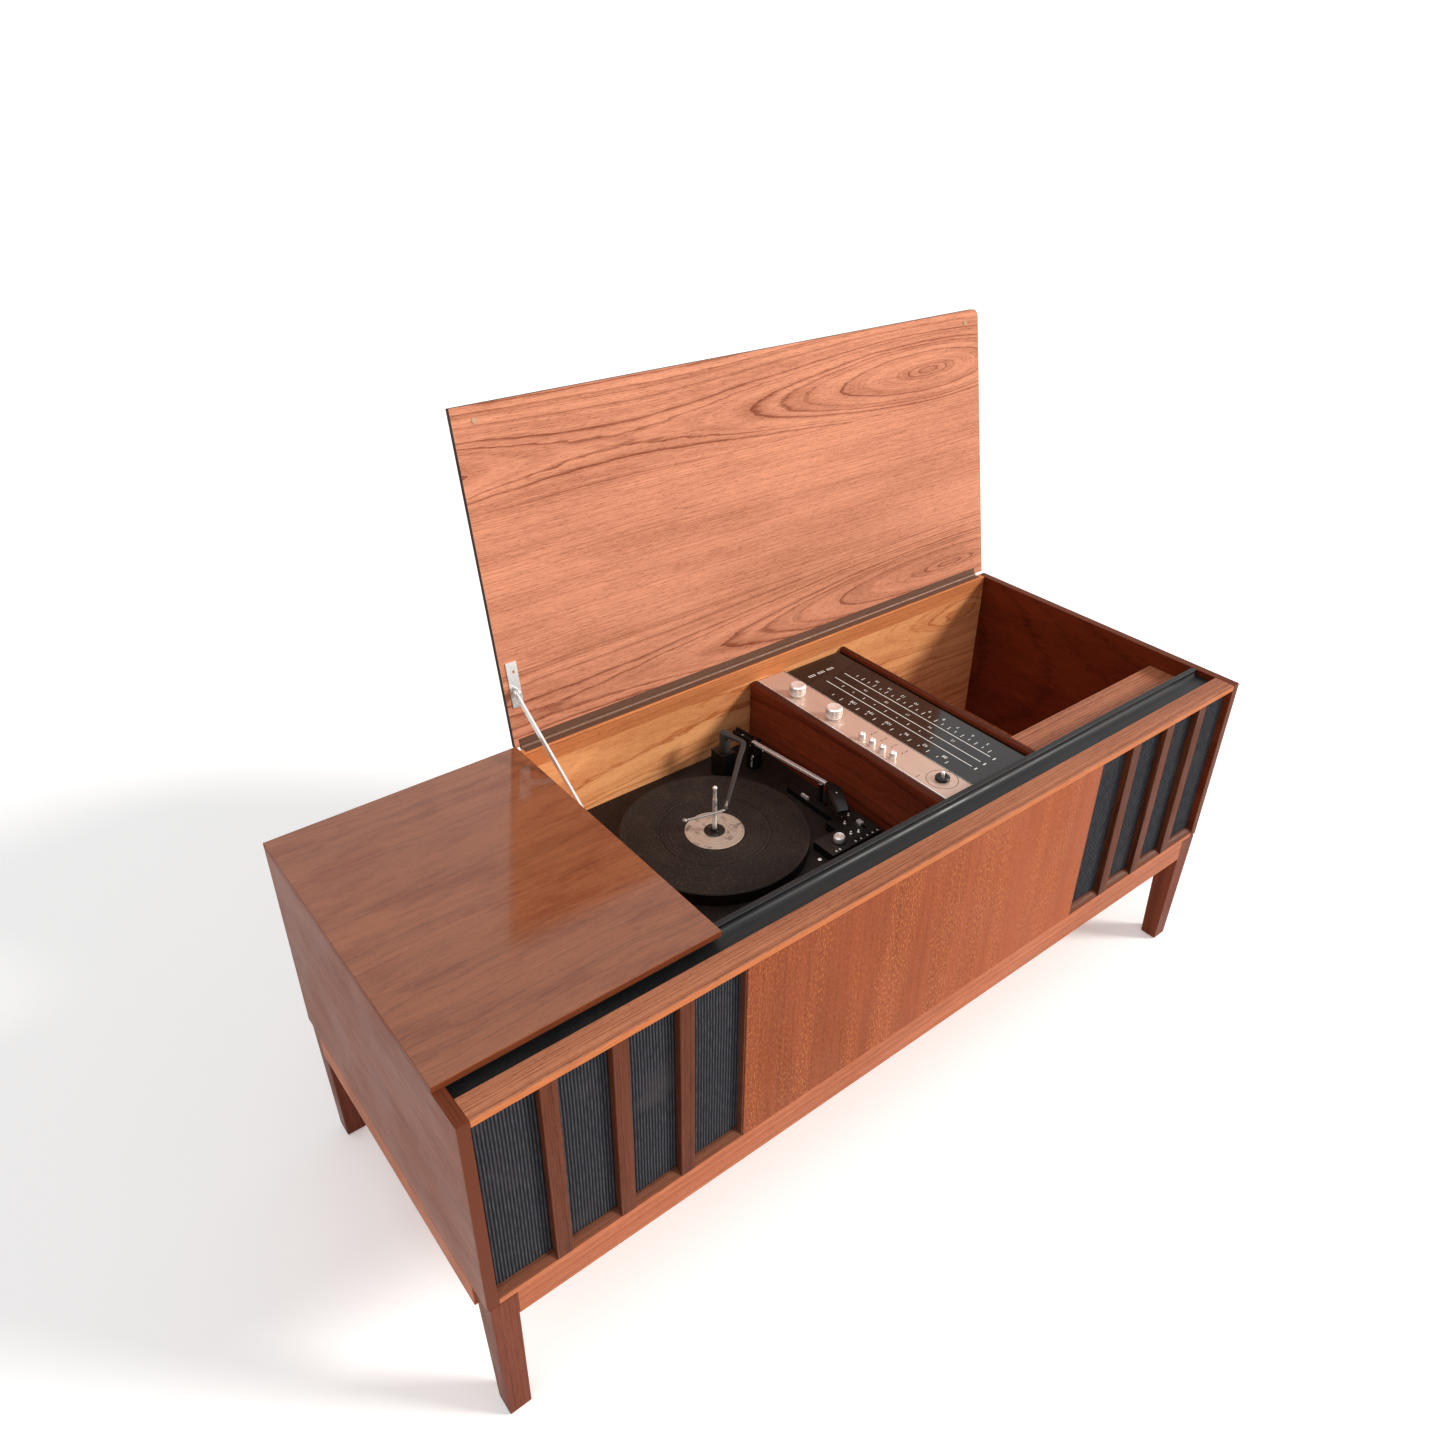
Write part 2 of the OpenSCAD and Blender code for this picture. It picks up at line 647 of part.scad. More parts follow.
// A leaf that ends at the case's back, with a tab to each of its own knuckles.
module leaf(first, z0) {
    block([hinge_x, case_d - leaf_w, z0], [hinge_x + hinge_len, case_d + 0.2, z0 + leaf_t]);
    for (i = [first:2:knuckle_n - 1])
        translate([hinge_x + i * knuckle_pitch + 0.1, case_d, z0])
            cube([knuckle_pitch - 0.2, 1.5, leaf_t]);
}

module hinge_case_leaf() color("gray") in_case() {
    leaf(0, case_h - leaf_gap - leaf_t);
    knuckles(0, 0);
    translate([hinge_x, axis_y, axis_z]) rotate([0, 90, 0])
        cylinder(r = hinge_pin_r, h = hinge_len);
}

module hinge_lid_leaf() color("gray") on_lid() {
    leaf(1, case_h + leaf_gap);
    knuckles(1, hinge_pin_r + run);
}

// Bracket screwed under the lid, with the lug and rivet that carry the stay arm.
module stay_bracket() color("gold") on_lid() {
    rivet_y = axis_y - stay_v;
    rivet_z = axis_z - stay_n;
    lug_x = stay_x + stay_t + 0.3;
    underside = case_h + lid_gap;
    difference() {
        block([377, case_d - 127, underside - 1.5], [394, case_d - 58, underside]);
        post([387, case_d - 112], 2.2, underside - 3, underside + e);
    }
    block([lug_x, rivet_y - 7, rivet_z], [lug_x + 2, rivet_y + 7, underside - 1.5]);
    translate([lug_x, rivet_y, rivet_z]) rotate([0, 90, 0]) cylinder(r = 7, h = 2);
    translate([stay_x - 1.8, rivet_y, rivet_z]) rotate([0, 90, 0])
        cylinder(r = stud_r, h = lug_x - stay_x + 2);
    translate([stay_x - 1.8, rivet_y, rivet_z]) rotate([0, 90, 0]) cylinder(r = 4, h = 1.5);
}

// Flat strip from the rivet to the stud that slides in the guide.
module stay_arm() color("silver") in_case() {
    rivet = stay_rivet(lid_angle);
    stud = stay_stud(lid_angle);
    beside_lid(stay_x + stay_t, stay_t) difference() {
        union() {
            translate(rivet) rotate(stay_open) translate([0, -stay_w / 2])
                square([stay_len, stay_w]);
            for (p = [rivet, stud]) translate(p) circle(r = stay_w / 2);
        }
        translate(rivet) circle(r = stud_r + run);
    }
    beside_lid(stay_x + 1, stay_x + 1 - bay_x - 2) translate(stud) circle(r = stud_r);
}

// Slotted plate on the divider. The slot follows the stud's path as the lid swings.
module stay_guide() color("goldenrod") in_case() {
    steps = 12;
    half = stud_r + slot_play;
    path = [for (i = [-1:steps + 1]) stay_stud(lid_angle * i / steps)];
    along = [for (i = [1:steps + 1]) heading(path[i - 1], path[i + 1])];
    shut = path[1];
    open = path[steps + 1];
    near = [for (i = [0:steps]) path[i + 1] + turn(half, along[i] + 90)];
    far = [for (i = [0:steps]) path[steps + 1 - i] + turn(half, along[steps - i] - 90)];
    open_end = [for (a = [60:-30:-60]) open + turn(half, along[steps] + a)];
    shut_end = [for (a = [-120:-30:-240]) shut + turn(half, along[0] + a)];
    beside_lid(bay_x + 6, 2) difference() {
        translate([open[0] - 16, -74]) square([shut[0] - open[0] + 32, 62]);
        polygon(concat(near, open_end, far, shut_end));
    }
    for (u = [open[0] - 16, shut[0] + 8]) beside_lid(bay_x + 4, 4)
        translate([u, -74]) square([8, 62]);
}

side_panel_left();
side_panel_right();
bottom_board();
fixed_top();
front_rail();
finger_channel();
inner_front_board();
centre_panel();
grille_slats();
grille_cloths();
speaker_baffles();
loudspeakers();
back_rail();
inner_back_panel();
rear_cover();
cable_gland();
bay_divider();
radio_cheeks();
record_shelf();
motor_board();
apron_front();
apron_sides();
leg_front_left();
leg_front_right();
leg_rear_left();
leg_rear_right();
control_panel();
dial_glass();
radio_chassis();
deck_plate();
spindle();
tonearm_pillar();
overarm_tower();
control_block();
drive_motor();
hinge_case_leaf();
stay_guide();
lid();
lid_bumpers();
hinge_lid_leaf();
stay_bracket();
stay_arm();
platter();
platter_mat();
idler_wheel();
motor_pulley();
tonearm_gimbal();
tonearm();
head_shell();
overarm();
speed_knob();
start_lever();
volume_knob();
tone_knob();
button_1();
button_2();
button_3();
button_4();
tuning_spindle();
dial_pointer();
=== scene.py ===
"""Looks of the radio phonograph console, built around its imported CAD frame."""
import json
import math
import random

import bmesh
import bpy
from mathutils import Matrix, Vector

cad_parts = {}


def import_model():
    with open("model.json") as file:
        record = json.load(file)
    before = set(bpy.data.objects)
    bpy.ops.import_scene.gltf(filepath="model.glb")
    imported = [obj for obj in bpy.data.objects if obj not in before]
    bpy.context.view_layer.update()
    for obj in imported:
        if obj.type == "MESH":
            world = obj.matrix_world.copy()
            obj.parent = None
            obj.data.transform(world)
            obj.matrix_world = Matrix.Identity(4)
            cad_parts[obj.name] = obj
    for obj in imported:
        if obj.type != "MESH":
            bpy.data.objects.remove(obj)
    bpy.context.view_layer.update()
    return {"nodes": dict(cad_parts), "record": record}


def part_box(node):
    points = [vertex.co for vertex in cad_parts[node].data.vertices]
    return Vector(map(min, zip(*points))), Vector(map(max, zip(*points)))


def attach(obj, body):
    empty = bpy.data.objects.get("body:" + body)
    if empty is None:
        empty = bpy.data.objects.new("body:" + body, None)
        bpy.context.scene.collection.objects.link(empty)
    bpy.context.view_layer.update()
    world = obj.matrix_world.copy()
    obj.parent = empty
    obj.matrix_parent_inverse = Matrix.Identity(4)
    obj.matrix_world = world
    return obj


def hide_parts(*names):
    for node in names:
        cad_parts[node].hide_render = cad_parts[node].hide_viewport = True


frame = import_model()

MM = 0.001
nodes = frame["nodes"]

# Positions are in mm from the case's front left bottom corner unless a comment says otherwise.
corner = Vector(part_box("side_panel_left")[0])


def at(x, y, z):
    """A point of the case in the row frame, in metres."""
    return corner + Vector((x, y, z)) * MM


def span(node):
    """The lowest and highest corners of a CAD node, in mm from the case's corner."""
    return [(Vector(p) - corner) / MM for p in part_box(node)]


def middle(node):
    """The x and y of a CAD node's middle, in mm from the case's corner."""
    lo, hi = span(node)
    return (lo.x + hi.x) / 2, (lo.y + hi.y) / 2


def rgb(r, g, b):
    """An 8-bit display colour as a linear one."""
    def channel(c):
        c /= 255
        return c / 12.92 if c <= 0.04045 else ((c + 0.055) / 1.055) ** 2.4
    return (channel(r), channel(g), channel(b), 1.0)


def darker(colour, share):
    """A linear colour times a share, still opaque."""
    return tuple(c * share for c in colour[:3]) + (1.0,)


X, Y, Z = (1.0, 0.0, 0.0), (0.0, 1.0, 0.0), (0.0, 0.0, 1.0)
case_length = span("side_panel_right")[1].x
hub_x, hub_y = middle("platter")

# Materials, by name: the record's slots, and looks that only this script uses
finish = {}


class Shader:
    """A Principled material with short calls that add and link its nodes."""

    def __init__(self, name, **values):
        self.material = bpy.data.materials.new(name)
        self.material.use_nodes = True
        self.tree = self.material.node_tree
        self.bsdf = self.tree.nodes["Principled BSDF"]
        for key, value in values.items():
            self.put(self.bsdf.inputs[key.replace("_", " ")], value)
        finish[name] = self.material

    def put(self, target, value):
        if isinstance(value, bpy.types.NodeSocket):
            self.tree.links.new(value, target)
        else:
            target.default_value = value

    def node(self, kind, output=0, inputs=(), **settings):
        made = self.tree.nodes.new(kind)
        for key, value in settings.items():
            setattr(made, key, value)
        for key, value in dict(inputs).items():
            self.put(made.inputs[key], value)
        return made.outputs[output]

    def calc(self, operation, *values):
        return self.node("ShaderNodeMath", inputs=enumerate(values), operation=operation)

    def plus(self, a, b):
        return self.calc("ADD", a, b)

    def times(self, a, b):
        return self.calc("MULTIPLY", a, b)

    def over(self, a, b):
        return self.calc("DIVIDE", a, b)

    def clamp(self, value):
        return self.node("ShaderNodeClamp", inputs={0: value})

    def dot(self, vector, axis):
        return self.node("ShaderNodeVectorMath", "Value", {0: vector, 1: axis},
                         operation="DOT_PRODUCT")

    def vector(self, x, y, z):
        return self.node("ShaderNodeCombineXYZ", inputs={0: x, 1: y, 2: z})

    def place(self):
        """Object coordinates, which are the row frame's at rest."""
        return self.node("ShaderNodeTexCoord", "Object")

    def normal(self):
        return self.node("ShaderNodeTexCoord", "Normal")

    def along(self, axis, origin):
        """Distance in mm from a point, measured along an axis."""
        offset = origin.dot(Vector(axis))
        value = self.calc("SUBTRACT", self.dot(self.place(), axis), offset)
        return self.over(value, MM)

    def radius(self, x, y):
        """Distance in mm from the upright line through x, y."""
        dx = self.along(X, at(x, y, 0))
        dy = self.along(Y, at(x, y, 0))
        return self.calc("SQRT", self.plus(self.times(dx, dx), self.times(dy, dy)))

    def noise(self, vector, detail, scale=1.0, roughness=0.5):
        return self.node("ShaderNodeTexNoise", "Fac", {
            "Vector": vector, "Scale": scale, "Detail": detail, "Roughness": roughness})

    def noise_1d(self, value, detail):
        return self.node("ShaderNodeTexNoise", "Fac", {
            "W": value, "Scale": 1.0, "Detail": detail}, noise_dimensions="1D")

    def fit(self, value, low, high, new_low=0.0, new_high=1.0):
        """Value's range from low to high becomes new_low to new_high, with smooth ends."""
        return self.node("ShaderNodeMapRange", 0, {
            0: value, 1: low, 2: high, 3: new_low, 4: new_high},
            interpolation_type="SMOOTHSTEP")

    def mix(self, factor, a, b, blend="MIX"):
        made = self.tree.nodes.new("ShaderNodeMix")
        made.data_type = "RGBA"
        made.blend_type = blend
        self.put(made.inputs[0], factor)
        self.put(made.inputs[6], a)
        self.put(made.inputs[7], b)
        return made.outputs[2]

    def colour(self, value):
        self.put(self.bsdf.inputs["Base Color"], value)

    def roughness(self, value):
        self.put(self.bsdf.inputs["Roughness"], value)

    def bump(self, height, depth_mm, strength):
        self.put(self.bsdf.inputs["Normal"], self.node(
            "ShaderNodeBump", inputs={"Height": height, "Distance": depth_mm * MM,
                                      "Strength": strength}))


def grain_axes(s, along, across, origin):
    """Distances in mm along the grain, across it, and into the board."""
    depth = tuple(Vector(along).cross(Vector(across)))
    return [s.along(axis, origin) for axis in (along, across, depth)]


def pick(s, v, leaves, column):
    """One parameter of the veneer leaf that v lies on. A leaf's first value is where it ends."""
    value = leaves[0][column]
    for ended, leaf in zip(leaves, leaves[1:]):
        past = s.calc("GREATER_THAN", v, ended[0])
        change = s.calc("SUBTRACT", leaf[column], value)
        value = s.calc("MULTIPLY_ADD", past, change, value)
    return value


def ring_distance(s, u, v, w, leaves, wander):
    """Distance in mm from the log's pith line to the cut, with a slow wander.

    Each leaf is (end, pith, height, turn, bow): the pith lies at v = pith, and the cut passes it
    at a height that falls off by bow to both sides of u = turn, so the rings close in arches.
    Two more values may follow, the spacing of the leaf's rings and how strongly they show."""
    pith, height, turn, bow = [pick(s, v, leaves, i) for i in range(1, 5)]
    from_turn = s.calc("SUBTRACT", u, turn)
    drop = s.times(s.times(from_turn, from_turn), bow)
    rise = s.plus(s.calc("SUBTRACT", height, drop), w)
    side = s.calc("SUBTRACT", v, pith)
    shift = s.noise(s.vector(s.times(u, 0.0024), s.times(v, 0.012), s.times(height, 0.1)), detail=3.0)
    side = s.calc("MULTIPLY_ADD", s.calc("SUBTRACT", shift, 0.5), wander, side)
    radius = s.calc("SQRT", s.plus(s.times(side, side), s.times(rise, rise)))
    fine = s.noise(s.vector(s.times(u, 0.02), s.times(v, 0.15), w), detail=2.0)
    return s.calc("MULTIPLY_ADD", s.calc("SUBTRACT", fine, 0.5), 0.12 * wander, radius)


def wood(name, along, across, origin, light, dark, leaves=((0, 900, 40, 0, 0),), ring=4.5,
         wander=14.0, contrast=0.6, streak=0.35, roughness=0.45, coat=0.0, edge=None,
         mottle_sheen=0.0, seam=0.0, inside=None, late_from=0.5, patch=0.0, painted_shade_slope=0.0, back=None):
    """Wood or veneer. edge is (axis, colour): faces square to that axis show the sheet, and the
    others its lipping. mottle_sheen adds short bright flecks: the veneer's figure, with its shimmer
    painted in as highlights. seam darkens where leaves meet.
    inside is (light, dark) for all but the case's two end faces, and back is (axis, light, dark)
    for the faces that look against an axis. late_from is where the dark late wood of a ring
    starts, patch the depth of reddish stains, coat the lacquer on faces that look up, and
    painted_shade_slope how much the tone falls over 700 mm across the grain, a painted shade that
    is darkest where that distance is 0."""
    s = Shader(name, Coat_Roughness=0.1, Specular_IOR_Level=0.06)
    lacquer = s.fit(s.dot(s.normal(), Z), 0.93, 0.99, 0.0, coat)
    s.put(s.bsdf.inputs["Coat Weight"], lacquer)
    u, v, w = grain_axes(s, along, across, origin)
    radius = ring_distance(s, u, v, w, leaves, wander)
    own_rings = len(leaves[0]) > 5
    count = s.over(radius, pick(s, v, leaves, 5) if own_rings else ring)
    late = s.fit(s.calc("FRACT", count), late_from, 0.97)
    uneven = s.noise_1d(s.times(count, 0.7), detail=3.0)
    rings = s.times(late, s.fit(uneven, 0.4, 0.62, 0.15, 1.0))
    rings = s.calc("MULTIPLY_ADD", s.fit(uneven, 0.35, 0.65), 0.35, s.times(rings, 0.65))
    fibre = s.noise(s.vector(s.over(u, 38), s.over(v, 0.9), s.over(w, 0.9)), detail=3.0, roughness=0.7)
    broad = s.noise(s.vector(s.over(u, 400), s.over(v, 45), s.over(w, 45)), detail=2.0)
    pores = s.noise(s.vector(s.over(u, 9), s.over(v, 0.7), s.over(w, 0.7)), detail=1.0)
    depth = s.times(pick(s, v, leaves, 6), contrast) if own_rings else contrast
    tone = s.times(rings, depth)
    tone = s.calc("MULTIPLY_ADD", s.fit(fibre, 0.35, 0.68), streak, tone)
    tone = s.calc("MULTIPLY_ADD", s.fit(broad, 0.35, 0.65), 0.2, tone)
    tone = s.calc("MULTIPLY_ADD", s.fit(pores, 0.58, 0.7), 0.35, tone)
    # Painted shade: the tone is darkest at the start of the distance across the grain and falls over 700
    # mm.
    if painted_shade_slope:
        tone = s.plus(tone, s.fit(v, 0, 700, 0.5 * painted_shade_slope, -0.5 * painted_shade_slope))
    # Painted highlights: short flecks of the veneer's figure are lightened to stand in for its shimmer.
    if mottle_sheen:
        fleck = s.noise(s.vector(s.over(u, 6), s.over(v, 2.4), 0.0), detail=3.0)
        band = s.noise(s.vector(s.over(u, 600), s.over(v, 55), 3.0), detail=1.0)
        bright = s.times(s.fit(fleck, 0.47, 0.66), s.fit(band, 0.4, 0.6, 0.3, 1.0))
    colour = s.mix(s.clamp(tone), light, dark)
    if mottle_sheen:
        colour = s.mix(s.times(bright, mottle_sheen), colour, rgb(206, 128, 70))
    if patch:
        stain = s.noise(s.vector(s.over(u, 170), s.over(v, 48), w), detail=8.0, roughness=0.72)
        amount = s.times(s.fit(stain, 0.46, 0.62), patch)
        colour = s.mix(amount, colour, s.mix(1.0, colour, rgb(196, 150, 128), "MULTIPLY"))
    if inside:
        inward = s.times(s.calc("GREATER_THAN", s.along(X, corner), 2),
                         s.calc("LESS_THAN", s.along(X, corner), case_length - 2))
        colour = s.mix(inward, colour, s.mix(s.clamp(tone), *inside))
    if back:
        away = s.calc("LESS_THAN", s.dot(s.normal(), back[0]), -0.5)
        colour = s.mix(away, colour, s.mix(s.clamp(tone), *back[1:]))
    if seam:
        near = 0.0
        for leaf in leaves[:-1]:
            gap = s.calc("ABSOLUTE", s.calc("SUBTRACT", v, leaf[0]))
            near = s.calc("MAXIMUM", near, s.fit(gap, 0.9, 0.0))
        colour = s.mix(s.times(near, seam), colour, dark)
    if edge:
        axis, lipping = edge
        facing = s.calc("ABSOLUTE", s.dot(s.normal(), axis))
        lip_colour = s.mix(s.times(s.fit(fibre, 0.35, 0.68), 0.6), lipping, darker(lipping, 0.45))
        colour = s.mix(s.fit(facing, 0.6, 0.4), colour, lip_colour)
    s.colour(colour)
    wear = s.noise(s.place(), scale=9.0, detail=4.0)
    s.roughness(s.calc("MULTIPLY_ADD", s.fit(wear, 0.35, 0.7), 0.12,
                       s.calc("MULTIPLY_ADD", s.fit(fibre, 0.3, 0.7), 0.08, roughness - 0.1)))
    s.bump(s.calc("SUBTRACT", s.times(fibre, -0.6), s.fit(pores, 0.6, 0.72)), 0.12, 0.5)


def coated(name, colour, roughness, speckle=0.25, size=2.0, dust=0.0, **values):
    """Paint, plastic or rubber: uneven gloss, a texture size mm fine, and dust on top faces."""
    s = Shader(name, **values)
    cells = s.noise(s.place(), scale=1 / (size * MM), detail=3.0)
    cloud = s.noise(s.place(), scale=14.0, detail=4.0)
    base = s.mix(s.fit(cloud, 0.3, 0.7), colour, darker(colour, 1 - speckle))
    if dust:
        up = s.fit(s.dot(s.normal(), Z), 0.5, 1.0)
        specks = s.fit(s.noise(s.place(), scale=420.0, detail=2.0), 0.56, 0.72)
        haze = s.fit(cloud, 0.4, 0.75, 0.1, 0.5)
        amount = s.times(up, s.times(s.calc("MAXIMUM", specks, haze), dust))
        base = s.mix(amount, base, rgb(178, 160, 148))
    s.colour(base)
    s.roughness(s.calc("MULTIPLY_ADD", s.fit(cloud, 0.3, 0.7), 0.15, roughness))
    s.bump(cells, 0.05, 0.4)


def metal(name, colour, roughness, along=None, wear=0.0, shade=1.0):
    """Bare or plated metal. along is the direction of its brushing, wear how much tarnish
    shows, and shade how metallic it is."""
    s = Shader(name, Metallic=shade)
    if along:
        across = [a for a in (X, Y, Z) if a != along]
        origin = Vector((0, 0, 0))
        grain = s.noise(s.vector(s.over(s.along(along, origin), 60),
                                 s.over(s.along(across[0], origin), 0.35),
                                 s.over(s.along(across[1], origin), 0.35)), detail=3.0)
        s.bump(grain, 0.02, 0.4)
    else:
        grain = s.noise(s.place(), scale=160.0, detail=4.0)
        s.bump(grain, 0.004, 0.1)
    dull = darker(colour, 0.78 if along else 0.94)
    spots = s.fit(s.noise(s.place(), scale=35.0, detail=5.0), 0.55, 0.7)
    base = s.mix(s.fit(grain, 0.3, 0.7), colour, dull)
    s.colour(s.mix(s.times(spots, wear), base, rgb(96, 70, 50)))
    s.roughness(s.calc("MULTIPLY_ADD", s.fit(grain, 0.3, 0.7), 0.15, roughness))


def cloth_material():
    """Ribbed cloth: pale threads on the crests of its upright ribs, and painted shade that darkens the
    valleys between them.
    """
    s = Shader("grille_cloth", Roughness=0.92, Specular_IOR_Level=0.15)
    x = s.along(X, corner)
    z = s.along(Z, corner)
    crest = span("grille_cloths")[0].y
    # Painted shade: the colour goes dark with depth from the rib crests into the valleys.
    height = s.fit(s.along(Y, corner), crest + 0.6, crest)
    warp = s.noise(s.vector(s.over(x, 1.4), s.over(z, 16), 0.0), detail=3.0)
    weft = s.noise(s.vector(s.over(x, 3), s.over(z, 0.9), 4.0), detail=2.0)
    stain = s.noise(s.place(), scale=11.0, detail=5.0)
    thread = s.mix(s.fit(warp, 0.35, 0.65), rgb(54, 54, 59), rgb(76, 76, 83))
    base = s.mix(height, rgb(22, 21, 24), thread)
    base = s.mix(s.times(s.fit(weft, 0.48, 0.65), 0.4), base, rgb(24, 24, 29))
    base = s.mix(s.fit(stain, 0.56, 0.72, 0.0, 0.4), base, rgb(70, 64, 64))
    s.colour(base)
    s.bump(s.plus(warp, weft), 0.25, 0.7)


def mat_material():
    """Ribbed rubber mat, with dust that lies in rings."""
    s = Shader("platter_mat", Roughness=0.6, Specular_IOR_Level=0.12)
    radius = s.radius(hub_x, hub_y)
    ridge = s.noise_1d(s.times(radius, 1.6), detail=2.0)
    cloud = s.noise(s.place(), scale=22.0, detail=5.0)
    specks = s.fit(s.noise(s.place(), scale=650.0, detail=2.0), 0.63, 0.74)
    base = s.mix(s.fit(ridge, 0.38, 0.62), rgb(15, 11, 9), rgb(50, 40, 35))
    base = s.mix(s.fit(cloud, 0.45, 0.75, 0.0, 0.3), base, rgb(64, 50, 43))
    base = s.mix(s.times(specks, 0.55), base, rgb(150, 138, 128))
    s.colour(base)
    s.bump(ridge, 0.3, 0.6)


def disc_material():
    """Worn metal disc in the mat's middle: bare rings and dark blotches."""
    s = Shader("mat_disc", Metallic=0.35, Specular_IOR_Level=0.5)
    radius = s.radius(hub_x, hub_y)
    rings = s.noise_1d(s.times(radius, 0.9), detail=3.0)
    blotch = s.noise(s.place(), scale=60.0, detail=6.0, roughness=0.65)
    base = s.mix(s.fit(rings, 0.35, 0.65), rgb(198, 184, 170), rgb(158, 142, 128))
    base = s.mix(s.fit(blotch, 0.5, 0.62, 0.0, 0.8), base, rgb(104, 84, 70))
    s.colour(base)
    s.roughness(s.fit(blotch, 0.3, 0.7, 0.3, 0.6))
    s.bump(rings, 0.08, 0.5)


def glass_material():
    """Dark glass printed on its back."""
    s = Shader("dial_glass", Specular_IOR_Level=0.5)
    smear = s.noise(s.place(), scale=7.0, detail=5.0)
    s.colour(s.mix(s.fit(smear, 0.35, 0.7), rgb(14, 7, 5), rgb(26, 15, 11)))
    s.roughness(s.fit(smear, 0.3, 0.7, 0.05, 0.16))
    s.bump(smear, 0.01, 0.2)


# The lid at rest: its tilt, the way up it, the way its inner face looks, and its lower left corner
lid_tilt = math.radians(100.9)
lid_up = (0.0, -math.cos(lid_tilt), math.sin(lid_tilt))
lid_face = (0.0, -math.sin(lid_tilt), -math.cos(lid_tilt))
lid_origin = at(368, 540.5, 310)
teak_leaves = (
    (118, 42, 60, 60, 0.000076, 4.6, 1.0),
    (250, 560, 30, 200, 0.00002, 2.2, 0.5),
    (346, -260, 30, 300, 0.00002, 2.2, 0.5),
    (0, 402, 60, 250, 0.00014, 4.6, 1.0))

wood("lid_veneer", X, lid_up, lid_origin, rgb(232, 158, 124), rgb(134, 72, 50),
     teak_leaves, wander=16, contrast=0.75, streak=0.34, roughness=0.5,
     edge=(lid_face, rgb(50, 29, 20)), seam=0.5, late_from=0.62,
     back=(lid_face, rgb(158, 94, 62), rgb(88, 44, 26)))
wood("top_veneer", X, Y, at(0, 52, 319), rgb(150, 88, 56), rgb(92, 46, 26),
     ((0, 330, 70, 180, 0.0001),), ring=6, wander=60, contrast=0.3, streak=0.26, roughness=0.4,
     coat=1.0, edge=(Z, rgb(128, 66, 40)), patch=0.5)
wood("side_veneer", Y, Z, at(0, 0, 0), rgb(152, 96, 76), rgb(98, 56, 42),
     ((0, 150, 70, 100, 0.0001),), ring=5, wander=40, contrast=0.35, roughness=0.42,
     edge=(X, rgb(108, 54, 34)), inside=(rgb(128, 56, 32), rgb(56, 18, 8)), patch=0.15)
wood("rail_wood", X, Y, at(0, 0, 310), rgb(190, 124, 92), rgb(100, 50, 32),
     ((0, -60, 30, 300, 0.00001),), ring=3.2, wander=9, contrast=0.6, roughness=0.45, coat=0.1,
     edge=(Z, rgb(202, 118, 72)))
# The centre panel's veneer has painted shade that darkens its left end, and painted highlights in the
# flecks of its figure.
wood("centre_veneer", Z, X, at(364, 0, 8), rgb(158, 80, 46), rgb(102, 44, 22),
     ((190, 900, 60, 0, 0), (430, 1400, 60, 0, 0), (0, 2000, 60, 0, 0)), ring=9, wander=20,
     contrast=0.22, streak=0.26, roughness=0.42, mottle_sheen=0.5, seam=0.4, painted_shade_slope=0.5)
wood("slat_wood", Z, X, at(0, 0, 0), rgb(112, 60, 40), rgb(52, 22, 12), ring=4,
     contrast=0.5, roughness=0.45)
wood("back_veneer", X, Z, at(352, 522, 8), rgb(255, 186, 126), rgb(184, 100, 56),
     ((0, 250, 60, 400, 0.00018),), ring=9, wander=60, contrast=0.7, roughness=0.5,
     late_from=0.62)
wood("back_rail", X, Z, at(0, 522, 282), rgb(228, 146, 92), rgb(150, 80, 44), ring=4,
     contrast=0.45, roughness=0.45)
wood("mahogany", Y, Z, at(0, 0, 0), rgb(146, 68, 42), rgb(62, 22, 12),
     ((0, 500, 60, 300, 0.0001),), ring=6, contrast=0.5, streak=0.4, roughness=0.38,
     edge=(X, rgb(78, 36, 24)))
wood("base_wood", X, Z, at(0, 0, 0), rgb(196, 118, 82), rgb(122, 62, 40), ring=4,
     wander=10, contrast=0.45, roughness=0.45)
wood("leg_wood", Z, X, at(0, 0, 0), rgb(124, 64, 44), rgb(78, 34, 22), ring=4, wander=10,
     contrast=0.45, roughness=0.42)
wood("plain_board", X, Z, at(0, 0, 0), rgb(176, 142, 104), rgb(136, 104, 74), ring=12,
     wander=60, contrast=0.2, streak=0.2, roughness=0.8)
coated("channel_paint", rgb(15, 16, 19), 0.34, dust=0.04, Specular_IOR_Level=0.3)
coated("deck_paint", rgb(22, 14, 11), 0.38, dust=0.08, Specular_IOR_Level=0.15)
coated("speaker_metal", rgb(40, 40, 40), 0.5)
coated("rubber", rgb(30, 28, 28), 0.6)
coated("buffer_rubber", rgb(190, 150, 118), 0.6)
coated("black_plastic", rgb(15, 14, 15), 0.26, dust=0.05, size=1.0, Specular_IOR_Level=0.3)
coated("grey_plastic", rgb(56, 53, 51), 0.45, size=1.0, Specular_IOR_Level=0.3)
coated("button_plastic", rgb(228, 224, 214), 0.3, size=1.0)
coated("pointer_plastic", rgb(190, 60, 36), 0.5, size=1.0)
